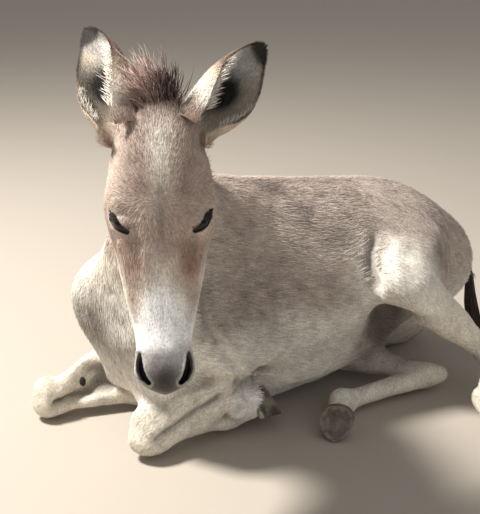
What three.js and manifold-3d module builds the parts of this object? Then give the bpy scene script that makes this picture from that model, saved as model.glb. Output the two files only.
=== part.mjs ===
// A young donkey lying on its chest with folded forelegs, its head turned to its left, as a still,
// life-size model. Millimetres, +Z up, resting on z = 0. The trunk lies along Y with the chest towards -Y,
// and +X is the donkey's left.
//
// The flesh is one distance field: soft joins of tapered limbs, ellipsoids and two lofted barrels. Flat
// cuts divide it into the trunk, neck, head and lengths of leg. Ears, hooves, mane and tail are solids of
// their own.
import * as THREE from "three";
import { mergeVertices } from "three/addons/utils/BufferGeometryUtils.js";
import Module from "manifold-3d";

const wasm = await Module();
wasm.setup();

// ---- Driving dimensions -------------------------------------------------------------------------
const GAP = 0.4; // left open between neighbouring pieces
const WELD = 0.3; // corners nearer than this after a cut become one
const HEAD_LENGTH = 430; // poll to upper lip
const EAR_LENGTH = 196;
const EAR_WALL = 6;
const EYE_RADIUS = 19.5;
const MANE_HEIGHT = 66;
const HOOF = { length: 74, width: 60, toe: 46, heel: 28, coronetLength: 56, coronetWidth: 52 };
const TAIL_WIDTH = 30;
const HAIR_GAP = 6.5; // from the flesh to the solids of mane and tail
// The grid step of each kind of piece.
const MESH = { trunk: 53, thigh: 52, neck: 38, head: 22, leg: 25.5, foot: 20, hair: 27 };

const at = (x, y, z) => new THREE.Vector3(x, y, z);
const between = (a, b, t) => a.clone().lerp(b, t);
const unit = (x, y, z) => at(x, y, z).normalize();
const SIDES = { left: 1, right: -1 };

// ---- Joints of the resting animal ---------------------------------------------------------------
// `sole` is the middle of the hoof's ground surface, `facing` its normal and `toe` the way the toe points.
const fore = {
  left: {
    elbow: at(124, 48, 128),
    knee: at(104, -196, 38),
    fetlock: at(114, -36, 34),
    sole: at(141, 58, 60),
    facing: unit(0.25, 0.82, 0.5),
    toe: unit(0, 0.52, -0.85),
  },
  right: {
    elbow: at(-142, -24, 128),
    knee: at(-146, -290, 35),
    fetlock: at(-88, -114, 26),
    sole: at(-68, 4, 35),
    facing: unit(0.13, 0.85, 0.5),
    toe: unit(0.075, 0.49, -0.866),
  },
};
const hind = {
  left: {
    hip: at(56, 494, 262),
    stifle: at(208, 326, 268),
    hock: at(258, 550, 74),
    fetlock: at(396, 374, 78),
    sole: at(460, 381, 13),
    facing: unit(0.365, 0.535, -0.762),
    toe: unit(0.72, -0.675, -0.13),
  },
  right: {
    hip: at(-84, 500, 128),
    stifle: at(-30, 264, 74),
    hock: at(192, 424, 33),
    fetlock: at(180, 206, 27),
    sole: at(251, 126, 35),
    facing: unit(0.563, -0.658, 0.5),
    toe: unit(0.325, -0.38, -0.866),
  },
};

// ---- Distance fields ----------------------------------------------------------------------------
// A field is a function of (x, y, z) that is negative inside its form.
const soften = (a, b, k) => {
  const h = Math.max(k - Math.abs(a - b), 0);
  return Math.min(a, b) - (h * h) / (4 * k);
};
const join = (k, ...forms) => (x, y, z) => forms.reduce((d, form) => soften(d, form(x, y, z), k), Infinity);
const pair = (form) => join(8, form(SIDES.left), form(SIDES.right));

// A tapered limb with round ends. It can be thinner along `flat`, `by` times.
function limb(a, radiusA, b, radiusB, flat = at(0, 0, 1), by = 1) {
  const [ab, thin] = [b.clone().sub(a), flat.clone().normalize()];
  const length2 = ab.lengthSq();
  const p = at(0, 0, 0);
  return (x, y, z) => {
    p.set(x - a.x, y - a.y, z - a.z);
    const t = THREE.MathUtils.clamp(p.dot(ab) / length2, 0, 1);
    p.addScaledVector(ab, -t);
    p.addScaledVector(thin, (by - 1) * p.dot(thin));
    return p.length() - radiusA - (radiusB - radiusA) * t;
  };
}

// An ellipsoid, with its radii along the three unit vectors of `axes`.
const UPRIGHT = [at(1, 0, 0), at(0, 1, 0), at(0, 0, 1)];
function lump(centre, radii, axes = UPRIGHT) {
  const p = at(0, 0, 0);
  const smallest = Math.min(...radii);
  return (x, y, z) => {
    p.set(x - centre.x, y - centre.y, z - centre.z);
    const k = Math.hypot(...axes.map((axis, i) => p.dot(axis) / radii[i]));
    return k < 0.05 ? -smallest : p.length() * (1 - 1 / k);
  };
}

// A barrel lofted along `frame.along`. Each station is [distance, centre aside, centre up, half width,
// half height, roll], with the roll in degrees; `power` above 2 squares the sections.
function barrel(frame, stations, power = 2) {
  const distances = stations.map((s) => s[0]);
  const [first, last] = [distances[0], distances[distances.length - 1]];
  const values = stations.flatMap((s) => s.slice(1));
  const section = new THREE.CubicInterpolant(distances, values, 5, new Float64Array(5));
  const p = at(0, 0, 0);
  return (x, y, z) => {
    p.set(x, y, z).sub(frame.origin);
    const s = p.dot(frame.along);
    const inside = THREE.MathUtils.clamp(s, first, last);
    const [aside, up, halfWidth, halfHeight, roll] = section.evaluate(inside);
    const [du, dv] = [p.dot(frame.side) - aside, p.dot(frame.up) - up];
    const [cos, sin] = [Math.cos(roll * THREE.MathUtils.DEG2RAD), Math.sin(roll * THREE.MathUtils.DEG2RAD)];
    const [u, v] = [du * cos + dv * sin, dv * cos - du * sin];
    const k = ((Math.abs(u) / halfWidth) ** power + (Math.abs(v) / halfHeight) ** power) ** (1 / power);
    const side = k < 0.05 ? -Math.min(halfWidth, halfHeight) : Math.hypot(u, v) * (1 - 1 / k);
    return s === inside ? side : Math.max(side, Math.abs(s - inside));
  };
}

// ---- Trunk --------------------------------------------------------------------------------------
// Along the spine from the breast to the buttocks; the roll leans the hindquarters over the right hip.
const spine = { origin: at(0, 0, 0), along: at(0, 1, 0), side: at(1, 0, 0), up: at(0, 0, 1) };
const trunkBarrel = barrel(spine, [
  [-232, -6, 262, 20, 30, 0],
  [-205, -6, 260, 78, 98, 0],
  [-150, -6, 252, 118, 166, 0],
  [-80, -8, 247, 142, 214, 0],
  [0, -12, 240, 154, 243, 2],
  [120, -14, 232, 176, 236, 6],
  [240, -8, 235, 188, 217, 10],
  [340, -6, 242, 178, 198, 14],
  [430, -8, 252, 162, 176, 18],
  [520, -10, 248, 144, 156, 22],
  [600, -12, 232, 118, 122, 24],
  [660, -14, 212, 84, 84, 24],
  [700, -14, 200, 26, 30, 24],
]);
const shoulder = (side, { elbow }) =>
  join(
    44,
    limb(at(side * 58, 8, 418), 58, at(side * 118, -170, 268), 58, at(side, 0, 0.25), 1.3),
    limb(at(side * 118, -170, 262), 54, elbow, 54),
    limb(at(side * 60, -186, 246), 74, at(side * 54, -142, 122), 64), // breast
  );
const thigh = ({ hip, stifle }, radius, flat) => limb(hip, radius, stifle, 62, flat, 1.3);
const rump = join(30, lump(at(22, 584, 214), [96, 112, 104]), lump(at(-62, 545, 150), [118, 146, 166]));
const trunkFlesh = join(
  40,
  trunkBarrel,
  shoulder(SIDES.left, fore.left),
  shoulder(SIDES.right, fore.right),
  join(36, thigh(hind.left, 112, at(0.8, 0.4, 0.45)), thigh(hind.right, 120, at(1, 0, 0.2)), rump),
);

// ---- Neck ---------------------------------------------------------------------------------------
const crestLine = { withers: at(4, 0, 464), middle: at(92, -108, 610), poll: at(228, -240, 694) };
const neckSide = unit(-0.7, -0.47, 0.39);
const neckFlesh = join(
  36,
  limb(at(2, -66, 388), 106, at(200, -214, 604), 58, neckSide, 1.45),
  limb(at(2, -176, 304), 80, at(180, -216, 556), 38),
);

// ---- Head ---------------------------------------------------------------------------------------
// The head's frame: `along` runs down the face from the poll, `side` to the donkey's left, and `up` out of
// the forehead.
const head = { origin: at(268, -258, 687), along: unit(0.264, -0.154, -0.952) };
const level = at(0.499, 0.866, 0);
head.side = level.clone().addScaledVector(head.along, -level.dot(head.along)).normalize();
head.up = head.along.clone().cross(head.side).normalize();
const headAxes = [head.side, head.along, head.up];
const inHead = (...parts) =>
  headAxes.reduce((sum, axis, i) => sum.addScaledVector(axis, parts[i]), at(0, 0, 0));
const face = (down, side, out) => inHead(side, down * HEAD_LENGTH, out).add(head.origin);

// Each station is [share of the head's length, half width, height of the face, height of the underside].
const headBarrel = barrel(
  head,
  [
    [-0.07, 22, -44, -92],
    [-0.02, 50, -14, -118],
    [0.06, 62, 2, -128],
    [0.15, 76, 12, -134],
    [0.28, 83, 17, -134],
    [0.4, 79, 10, -128],
    [0.5, 73, 3, -118],
    [0.6, 66, -2, -106],
    [0.7, 57, -4, -98],
    [0.8, 47, -4, -90],
    [0.87, 41, -2, -86],
    [0.93, 40, -2, -82],
    [0.975, 30, -14, -68],
    [1.0, 12, -30, -50],
  ].map(([t, width, top, under]) => [t * HEAD_LENGTH, 0, (top + under) / 2, width, (top - under) / 2, 0]),
  2.4,
);
const ears = {
  left: { base: face(0.045, 55, -52), axis: inHead(0.57, -0.73, -0.37).normalize() },
  right: { base: face(0.045, -55, -52), axis: inHead(-0.29, -0.86, -0.43).normalize() },
};
const eyeCentre = (side) => face(0.405, side * 57, -21);
const headFlesh = join(
  20,
  headBarrel,
  pair((s) => lump(face(0.375, s * 63, -34), [22, 42, 24], headAxes)), // brows
  pair((s) => lump(face(0.33, s * 42, -124), [30, 92, 66], headAxes)), // jaws
  pair((s) => limb(face(0.42, s * 30, -142), 30, face(0.8, s * 15, -94), 20)),
  lump(face(0.9, 0, -78), [27, 32, 20], headAxes), // chin
  pair((s) => lump(face(0.915, s * 30, -26), [17, 27, 22], headAxes)), // nostrils
  join(
    2,
    ...Object.values(ears).map(({ base, axis }) =>
      limb(base.clone().addScaledVector(axis, -44), 31, base.clone().addScaledVector(axis, 12), 24),
    ),
  ),
);

// ---- Legs ---------------------------------------------------------------------------------------
// The middle of the coronet, where the hoof starts below the pastern.
const CORONET = { up: (HOOF.toe + HOOF.heel) / 2, back: 14 };
const coronet = ({ sole, facing, toe }) =>
  sole.clone().addScaledVector(facing, -CORONET.up).addScaledVector(toe, -CORONET.back);
const foreLeg = (leg) => {
  const { elbow, knee, fetlock } = leg;
  const forearm = join(
    12,
    limb(elbow, 54, between(elbow, knee, 0.6), 41),
    limb(between(elbow, knee, 0.5), 42, knee, 33),
    lump(knee, [36, 41, 39]),
  );
  const cannon = join(
    8,
    limb(between(knee, fetlock, 0.12), 24, fetlock, 20),
    lump(fetlock, [26, 29, 28]),
    limb(fetlock, 24, coronet(leg), 26),
  );
  return join(5, forearm, cannon);
};
const hindLeg = (leg, thick) => {
  const { stifle, hock, fetlock } = leg;
  const past = (from) => hock.clone().sub(from).normalize();
  const heelBone = past(stifle).add(past(fetlock)).normalize();
  const gaskin = join(
    14,
    limb(stifle, thick, between(stifle, hock, 0.55), thick * 0.62),
    limb(between(stifle, hock, 0.45), thick * 0.66, hock, 25),
  );
  const cannon = join(
    9,
    limb(hock, 27, between(hock, fetlock, 0.35), 21),
    limb(hock, 22, hock.clone().addScaledVector(heelBone, 36), 17),
    limb(between(hock, fetlock, 0.3), 21, fetlock, 19),
    lump(fetlock, [26, 28, 29]),
    limb(fetlock, 24, coronet(leg), 26),
  );
  return join(7, gaskin, cannon);
};
const flesh = join(
  3,
  join(30, trunkFlesh, neckFlesh, headFlesh),
  join(24, trunkFlesh, foreLeg(fore.left)),
  join(24, trunkFlesh, foreLeg(fore.right)),
  join(16, trunkFlesh, hindLeg(hind.left, 60)),
  join(16, trunkFlesh, hindLeg(hind.right, 54)),
);

// ---- From a field to a closed mesh --------------------------------------------------------------
// Surface nets: one vertex in each grid cell that the surface crosses, drawn onto the surface, and one quad
// across each grid edge that it crosses.
function skinOf(field, box, step) {
  const size = ["x", "y", "z"].map((n) => Math.ceil((box.max[n] - box.min[n]) / step) + 1);
  const index = (i, j, k) => (k * size[1] + j) * size[0] + i;
  const values = new Float32Array(size[0] * size[1] * size[2]);
  for (let k = 0; k < size[2]; k++)
    for (let j = 0; j < size[1]; j++)
      for (let i = 0; i < size[0]; i++)
        values[index(i, j, k)] = field(box.min.x + i * step, box.min.y + j * step, box.min.z + k * step);
  const corners = [0, 1, 2, 3, 4, 5, 6, 7].map((n) => [n & 1, (n >> 1) & 1, n >> 2]);
  const edges = corners.flatMap((c, n) => [1, 2, 4].filter((bit) => !(n & bit)).map((bit) => [n, n | bit]));
  const slope = at(0, 0, 0);
  const drawOnto = (p) => {
    const e = step / 20;
    for (let turn = 0; turn < 3; turn++) {
      const d = field(p.x, p.y, p.z);
      slope.set(field(p.x + e, p.y, p.z) - d, field(p.x, p.y + e, p.z) - d, field(p.x, p.y, p.z + e) - d);
      slope.divideScalar(e);
      const move = THREE.MathUtils.clamp(-d / Math.max(slope.lengthSq(), 0.2), -step / 3, step / 3);
      p.addScaledVector(slope, move);
    }
  };
  const vertexOf = new Map();
  const positions = [];
  for (let k = 0; k + 1 < size[2]; k++)
    for (let j = 0; j + 1 < size[1]; j++)
      for (let i = 0; i + 1 < size[0]; i++) {
        const v = corners.map(([a, b, c]) => values[index(i + a, j + b, k + c)]);
        const crossed = edges.filter(([a, b]) => v[a] < 0 !== v[b] < 0);
        if (!crossed.length) continue;
        const p = at(0, 0, 0);
        for (const [a, b] of crossed) {
          const t = v[a] / (v[a] - v[b]);
          p.addScaledVector(between(at(...corners[a]), at(...corners[b]), t), 1 / crossed.length);
        }
        p.add(at(i, j, k)).multiplyScalar(step).add(box.min);
        drawOnto(p);
        vertexOf.set(index(i, j, k), positions.length / 3);
        positions.push(p.x, p.y, p.z);
      }
  const triangles = [];
  const strides = [index(1, 0, 0), index(0, 1, 0), index(0, 0, 1)];
  for (const here of vertexOf.keys())
    for (let n = 0; n < 3; n++) {
      const [u, v] = [strides[(n + 1) % 3], strides[(n + 2) % 3]];
      const [inside, next] = [values[here] < 0, values[here + strides[n]] < 0];
      if (inside === next) continue;
      const quad = [here, here - u, here - u - v, here - v].map((cell) => vertexOf.get(cell));
      if (!inside) quad.reverse();
      triangles.push(quad[0], quad[1], quad[2], quad[0], quad[2], quad[3]);
    }
  return { positions, triangles };
}

// ---- Solids: three.js geometry to manifold-3d and back ------------------------------------------
function solid({ positions, triangles }) {
  const [vertProperties, triVerts] = [new Float32Array(positions), new Uint32Array(triangles)];
  return new wasm.Manifold(new wasm.Mesh({ numProp: 3, vertProperties, triVerts }));
}
// Vertices nearer than `weld` become one. What collapses is dropped: slivers, and faces left back to back.
function solidOf(geometry, weld = 1e-3) {
  const bare = geometry.clone();
  bare.deleteAttribute("normal");
  bare.deleteAttribute("uv");
  const merged = mergeVertices(bare, weld);
  const kept = new Map();
  for (let i = 0; i < merged.index.count; i += 3) {
    const corners = Array.from(merged.index.array.slice(i, i + 3));
    if (new Set(corners).size < 3) continue;
    const key = corners.toSorted((a, b) => a - b).join();
    if (!kept.delete(key)) kept.set(key, corners);
  }
  return solid({ positions: merged.attributes.position.array, triangles: [...kept.values()].flat() });
}
function geometryOf(form) {
  const found = form.getMesh();
  return new THREE.BufferGeometry()
    .setAttribute("position", new THREE.BufferAttribute(new Float32Array(found.vertProperties), 3))
    .setIndex(new THREE.BufferAttribute(new Uint32Array(found.triVerts), 1));
}
// How many edges are shared by more than two triangles.
function crowded({ triangles }) {
  const edges = triangles.map((a, i) => [a, triangles[i % 3 === 2 ? i - 2 : i + 1]].join());
  return edges.length - new Set(edges).size;
}
// The largest closed body, so that no crumb is left beside a cut.
const whole = (form) => form.decompose().sort((a, b) => b.volume() - a.volume())[0];

// The field's surface in a box, above the floor. Where two sheets meet in one cell of the grid they share an
// edge, so of a few shifted grids the one with the fewest such edges is kept.
const floor = solidOf(new THREE.BoxGeometry(3000, 3000, 1000).translate(0, 0, 500));
const GRID_SHIFTS = 12;
function grown(field, box, step) {
  const boxed = (x, y, z) =>
    Math.max(
      field(x, y, z),
      Math.max(box.min.x - x, x - box.max.x),
      Math.max(box.min.y - y, y - box.max.y),
      Math.max(box.min.z - z, z - box.max.z),
    );
  let best = null;
  for (let shift = 0; shift < GRID_SHIFTS && best?.doubled !== 0; shift++) {
    const moved = at(1, 0.7, 0.4).multiplyScalar((-shift * step) / GRID_SHIFTS);
    const skin = skinOf(boxed, box.clone().expandByScalar(step * 1.5).translate(moved), step);
    const doubled = crowded(skin);
    if (!best || doubled < best.doubled) best = { skin, doubled };
  }
  return solid(best.skin).intersect(floor);
}
// The half of space beyond a plane, `GAP` further off where `away` is set.
function beyond(point, normal, away = 0) {
  const turn = new THREE.Quaternion().setFromUnitVectors(at(0, 0, 1), normal);
  const half = new THREE.BoxGeometry(4000, 4000, 2000).translate(0, 0, 1000 + away).applyQuaternion(turn);
  return solidOf(half.translate(point.x, point.y, point.z));
}
// A block round the line from `a` to `b`: `wide` to each side, along `across`, and `tall` above and below.
function block(a, b, across, wide, tall, grow = 0) {
  const along = b.clone().sub(a).normalize();
  const side = across.clone().addScaledVector(along, -across.dot(along)).normalize();
  const up = side.clone().cross(along);
  const middle = between(a, b, 0.5);
  const size = [wide * 2, a.distanceTo(b), tall * 2].map((length) => length + grow * 2);
  const place = new THREE.Matrix4().makeBasis(side, along, up).setPosition(middle);
  return solidOf(new THREE.BoxGeometry(...size).applyMatrix4(place));
}

// ---- Materials ----------------------------------------------------------------------------------
const paint = (color, roughness) => new THREE.MeshStandardMaterial({ color, roughness, metalness: 0 });
const materials = {
  coat: paint("#a3968a", 0.9),
  paleCoat: paint("#d9d2c3", 0.9),
  earFur: paint("#b9aca0", 0.9),
  mane: paint("#6e5a50", 0.95),
  horn: paint("#4a4038", 0.6),
  eye: paint("#17100c", 0.15),
};
const model = new THREE.Group();
function add(name, form, material) {
  const welded = solidOf(geometryOf(whole(form)), WELD);
  const piece = new THREE.Mesh(geometryOf(whole(welded)), materials[material]);
  piece.name = name;
  model.add(piece);
}
const boxAround = (radius, ...points) => new THREE.Box3().setFromPoints(points).expandByScalar(radius);

// ---- Cuts between the pieces --------------------------------------------------------------------
const neckRoot = [at(72, -122, 468), unit(0.62, -0.43, 0.66)];
const nape = [face(-0.1, 0, -106), inHead(0, 0.47, 0.88).normalize()];
const inFront = ([point, normal]) => beyond(point, normal, GAP / 2);
const behind = ([point, normal]) => beyond(point, normal.clone().negate(), GAP / 2);

// Each leg's lengths, from the foot up; each is taken out of what lies above it.
const legBlocks = [];
for (const name of Object.keys(SIDES)) {
  const leg = fore[name];
  const across = at(1, 0, 0);
  const reach = between(leg.knee, leg.fetlock, 2.4);
  legBlocks.push({
    name: `foreleg_${name}_cannon`,
    spans: [between(leg.knee, leg.fetlock, 0.2).setZ(20), reach.setZ(20), across, 48, 34],
    box: boxAround(50, leg.knee, leg.fetlock, coronet(leg)),
    step: MESH.foot,
    hoof: leg,
  });
  legBlocks.push({
    name: `foreleg_${name}_forearm`,
    spans: [between(leg.elbow, leg.knee, 0.26), between(leg.elbow, leg.knee, 1.4), across, 62, 64],
    box: boxAround(70, leg.elbow, leg.knee),
    step: MESH.leg,
  });
}
for (const name of Object.keys(SIDES)) {
  const leg = hind[name];
  const across = leg.hock.clone().sub(leg.stifle).cross(leg.fetlock.clone().sub(leg.hock));
  const reach = between(leg.hock, leg.fetlock, 1.6);
  const heel = between(leg.hock, leg.fetlock, -0.35);
  legBlocks.push({
    name: `hindleg_${name}_cannon`,
    spans: [heel, reach, across, 60, 40],
    box: boxAround(60, leg.hock, leg.fetlock, coronet(leg)),
    step: MESH.foot,
    hoof: leg,
  });
  legBlocks.push({
    name: `hindleg_${name}_gaskin`,
    spans: [between(leg.stifle, leg.hock, 0.3), between(leg.stifle, leg.hock, 1.1), across, 70, 66],
    box: boxAround(80, leg.stifle, leg.hock),
    step: MESH.leg,
  });
}
const rolled = unit(0.9, 0, 0.43);
const forward = unit(-0.35, -0.93, 0.1);
const thighBlock = (side, inner) => {
  const out = rolled.clone().multiplyScalar(side);
  const start = inner.clone().addScaledVector(out, 300);
  return [start, start.clone().addScaledVector(forward, -560), out, 300, 420];
};
legBlocks.push({
  name: "hindleg_left_thigh",
  spans: thighBlock(1, at(66, 228, 250)),
  box: boxAround(240, hind.left.hip, hind.left.stifle),
  step: MESH.thigh,
});
legBlocks.push({
  name: "hindleg_right_thigh",
  spans: thighBlock(-1, at(-78, 330, 160)),
  box: boxAround(280, hind.right.hip, hind.right.stifle),
  step: MESH.thigh,
});

// ---- Hooves -------------------------------------------------------------------------------------
// A tube of rings, closed at both ends by fans.
function tube(rings) {
  const count = rings[0].length;
  const positions = rings.flat().flatMap((p) => p.toArray());
  const triangles = [];
  for (let r = 0; r + 1 < rings.length; r++)
    for (let i = 0; i < count; i++) {
      const [a, b] = [r * count + i, r * count + ((i + 1) % count)];
      triangles.push(a, b, b + count, a, b + count, a + count);
    }
  for (const [r, flip] of [[0, true], [rings.length - 1, false]]) {
    const centre = rings[r].reduce((sum, p) => sum.add(p), at(0, 0, 0)).divideScalar(count);
    const hub = positions.push(...centre.toArray()) / 3 - 1;
    for (let i = 0; i < count; i++) {
      const [a, b] = [r * count + i, r * count + ((i + 1) % count)];
      triangles.push(...(flip ? [b, a, hub] : [a, b, hub]));
    }
  }
  const form = solid({ positions, triangles });
  return form.volume() > 0 ? form : solid({ positions, triangles: triangles.reverse() });
}
const HOOF_SIDES = 12;
function hoof({ sole, facing, toe }) {
  const side = facing.clone().cross(toe);
  // share: 1 at the coronet, 0 at the ground; scale and sink hollow the sole
  const ring = (share, scale = 1, sink = 0) =>
    Array.from({ length: HOOF_SIDES }, (_, i) => {
      const angle = (i / HOOF_SIDES) * Math.PI * 2;
      const length = THREE.MathUtils.lerp(HOOF.length, HOOF.coronetLength, share) / 2;
      const width = THREE.MathUtils.lerp(HOOF.width, HOOF.coronetWidth, share) / 2;
      const front = Math.cos(angle) * length * (Math.cos(angle) < 0 ? 0.86 : 1);
      const height = THREE.MathUtils.lerp(HOOF.heel, HOOF.toe, (Math.cos(angle) + 1) / 2) * share;
      return sole
        .clone()
        .addScaledVector(toe, front * scale - CORONET.back * share)
        .addScaledVector(side, Math.sin(angle) * width * scale)
        .addScaledVector(facing, -height - sink);
    });
  return tube([ring(1), ring(0.5), ring(0), ring(0, 0.84), ring(0, 0.7, 6)]).intersect(floor);
}
const coronetPlane = (leg, away) => {
  const normal = leg.facing.clone().multiplyScalar(HOOF.coronetLength);
  normal.addScaledVector(leg.toe, HOOF.toe - HOOF.heel);
  return beyond(coronet(leg), normal.normalize(), away);
};

// The space round a hoof that lies under the belly.
function hoofRoom({ sole, facing, toe }) {
  const end = sole.clone().addScaledVector(facing, 12);
  const start = sole.clone().addScaledVector(facing, -HOOF.toe - 12);
  return block(start, end, facing.clone().cross(toe), HOOF.width / 2 + 3, HOOF.length / 2 + 8);
}

for (const [index, part] of legBlocks.entries()) {
  let form = grown(flesh, part.box, part.step).intersect(block(...part.spans));
  for (const lower of legBlocks.slice(0, index)) form = form.subtract(block(...lower.spans, GAP));
  if (part.hoof) form = form.subtract(coronetPlane(part.hoof, -GAP));
  add(part.name, form, "paleCoat");
  if (part.hoof) add(part.name.replace("leg", "hoof").replace("_cannon", ""), hoof(part.hoof), "horn");
}

// ---- Trunk, neck, head --------------------------------------------------------------------------
let trunk = grown(flesh, new THREE.Box3(at(-260, -300, -30), at(330, 760, 560)), MESH.trunk);
trunk = trunk.intersect(behind(neckRoot));
for (const part of legBlocks) trunk = trunk.subtract(block(...part.spans, GAP));
for (const leg of [fore.left, fore.right]) trunk = trunk.subtract(hoofRoom(leg));
add("trunk", trunk, "coat");
const neckForm = grown(flesh, boxAround(130, at(20, -100, 400), at(210, -210, 620)), MESH.neck);
add("neck", neckForm.intersect(inFront(neckRoot)).intersect(behind(nape)), "coat");
let headForm = grown(flesh, boxAround(135, face(0, 0, -60), face(0.95, 0, -60)), MESH.head);
headForm = headForm.intersect(inFront(neckRoot)).intersect(inFront(nape));
for (const [name, { base, axis }] of Object.entries(ears)) {
  headForm = headForm.subtract(block(base, base.clone().addScaledVector(axis, 90), head.side, 44, 44));
}
const ball = (side, radius) => {
  const centre = eyeCentre(side);
  return solidOf(new THREE.SphereGeometry(radius, 12, 7).translate(centre.x, centre.y, centre.z));
};
for (const [name, side] of Object.entries(SIDES)) {
  headForm = headForm.subtract(ball(side, EYE_RADIUS + GAP));
  add(`eye_${name}`, ball(side, EYE_RADIUS), "eye");
}
add("head", headForm, "coat");

// ---- Ears ---------------------------------------------------------------------------------------
// A leaf rolled into a tube at its root, open towards the front and outside.
// Each station is [share of the length, radius, degrees from the middle of the back to each edge].
const EAR_STATIONS = [
  [0, 24, 165],
  [0.16, 31, 140],
  [0.36, 41, 116],
  [0.56, 43, 98],
  [0.76, 37, 84],
  [0.9, 25, 74],
  [0.98, 12, 66],
  [1, 7, 60],
];
const EAR_ARC = 7; // faces across the back of the ear
function ear({ base, axis }, side) {
  const open = inHead(side * 0.6, 0, 0.8);
  open.addScaledVector(axis, -open.dot(axis)).normalize();
  const across = axis.clone().cross(open);
  const rootRadius = EAR_STATIONS[0][1];
  const rings = EAR_STATIONS.map(([share, radius, edge]) => {
    const wall = EAR_WALL * (1 - 0.55 * share);
    const along = THREE.MathUtils.lerp(GAP, EAR_LENGTH, share);
    const middle = base.clone().addScaledVector(axis, along).addScaledVector(open, radius - rootRadius);
    const arc = (r) =>
      Array.from({ length: EAR_ARC + 1 }, (_, i) => {
        const angle = THREE.MathUtils.degToRad(((2 * i) / EAR_ARC - 1) * edge);
        return middle
          .clone()
          .addScaledVector(open, -Math.cos(angle) * r)
          .addScaledVector(across, Math.sin(angle) * r);
      });
    return [...arc(radius), ...arc(radius - wall).reverse()];
  });
  return strip(rings);
}
// A tube of C-shaped rings, whose ends are closed by the strip between their outer and inner arcs.
function strip(rings) {
  const count = rings[0].length;
  const positions = rings.flat().flatMap((p) => p.toArray());
  const triangles = [];
  const quad = (a, b, c, d) => triangles.push(a, b, c, a, c, d);
  for (let r = 0; r + 1 < rings.length; r++)
    for (let i = 0; i < count; i++) {
      const [a, b] = [r * count + i, r * count + ((i + 1) % count)];
      quad(a, b, b + count, a + count);
    }
  const last = (rings.length - 1) * count;
  for (let i = 0; i + 1 < count / 2; i++) {
    quad(i + 1, i, count - 1 - i, count - 2 - i);
    quad(last + i, last + i + 1, last + count - 2 - i, last + count - 1 - i);
  }
  const form = solid({ positions, triangles });
  return form.volume() > 0 ? form : solid({ positions, triangles: triangles.reverse() });
}
for (const [name, side] of Object.entries(SIDES)) add(`ear_${name}`, ear(ears[name], side), "earFur");

// ---- Mane and tail ------------------------------------------------------------------------------
const besideFlesh = (form) => (x, y, z) => Math.max(form(x, y, z), HAIR_GAP - flesh(x, y, z));
const { withers, middle, poll } = crestLine;
const maneForm = join(
  16,
  limb(withers, MANE_HEIGHT * 0.7, middle, MANE_HEIGHT, neckSide, 2.8),
  limb(middle, MANE_HEIGHT, poll, MANE_HEIGHT, neckSide, 2),
  lump(face(-0.05, -4, -34), [24, 46, 24], headAxes), // forelock
);
add("mane", grown(besideFlesh(maneForm), boxAround(90, withers, poll), MESH.hair), "mane");

const dock = { root: at(-18, 640, 262), bend: at(-8, 712, 226), end: at(10, 738, 140) };
const hairEnds = [at(44, 724, 60), at(102, 684, 26), at(160, 636, 10)]; // the switch, down to the floor
const tailForm = join(
  12,
  limb(dock.root, TAIL_WIDTH * 0.9, dock.bend, TAIL_WIDTH * 0.7),
  limb(dock.bend, TAIL_WIDTH * 0.7, dock.end, TAIL_WIDTH * 0.55),
  limb(dock.end, TAIL_WIDTH * 0.55, hairEnds[0], TAIL_WIDTH * 0.8),
  limb(hairEnds[0], TAIL_WIDTH * 0.8, hairEnds[1], TAIL_WIDTH * 0.7),
  limb(hairEnds[1], TAIL_WIDTH * 0.7, hairEnds[2], 8),
);
const tail = grown(besideFlesh(tailForm), boxAround(60, dock.root, dock.end, hairEnds[2]), MESH.hair);
const tailSplit = [dock.end, unit(0.3, -0.1, -0.95)];
add("tail", tail.intersect(behind(tailSplit)), "coat");
add("tail_switch", tail.intersect(inFront(tailSplit)), "mane");

// The model stands over the origin: the middle of its box, on the floor.
const box = new THREE.Box3().setFromObject(model);
const centre = box.getCenter(at(0, 0, 0));
model.position.set(-centre.x, -centre.y, 0);

export default model;
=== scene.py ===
# %% [markdown]
# # A resting young donkey
# The packed model is a set of plain closed solids, one for each part of the
# body. They fix the size and the pose. This lesson puts a living surface on
# them: one skin, wet eyes, horn hooves and a coat made of solid tufts. Lengths
# are metres, the floor is z = 0, and the trunk lies along Y with the chest
# toward -Y. The donkey's left side is +X.

# %% Load the solids and keep their box
import math

import bmesh
import bpy
import numpy as np
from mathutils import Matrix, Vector
from mathutils.bvhtree import BVHTree
from mathutils.kdtree import KDTree


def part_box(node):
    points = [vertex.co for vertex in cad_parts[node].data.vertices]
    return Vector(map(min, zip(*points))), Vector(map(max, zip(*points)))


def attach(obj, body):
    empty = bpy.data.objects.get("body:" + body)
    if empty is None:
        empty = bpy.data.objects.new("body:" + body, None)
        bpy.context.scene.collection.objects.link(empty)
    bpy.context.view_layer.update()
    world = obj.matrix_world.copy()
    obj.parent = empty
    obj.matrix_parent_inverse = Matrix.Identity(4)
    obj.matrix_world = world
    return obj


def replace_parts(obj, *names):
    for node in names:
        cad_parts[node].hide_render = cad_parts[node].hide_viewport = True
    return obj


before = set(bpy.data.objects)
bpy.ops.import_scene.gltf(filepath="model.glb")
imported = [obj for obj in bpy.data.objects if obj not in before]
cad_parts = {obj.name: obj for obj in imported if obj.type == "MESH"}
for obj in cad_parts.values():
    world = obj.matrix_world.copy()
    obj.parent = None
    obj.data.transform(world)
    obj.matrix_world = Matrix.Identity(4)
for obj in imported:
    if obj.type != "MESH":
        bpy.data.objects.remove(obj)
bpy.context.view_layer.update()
MM = 0.001
draw = np.random.default_rng(11)

# %% [markdown]
# ## Finding a place on the head
# A sculptor measures a head from itself: how far down from the poll, how far
# to the side, how far out from the face. We do the same. The two eyes are
# solids of their own, so the middle between them ties that ruler to the model.
# The same point also ties the body's drawing frame to the model's frame.


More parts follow.
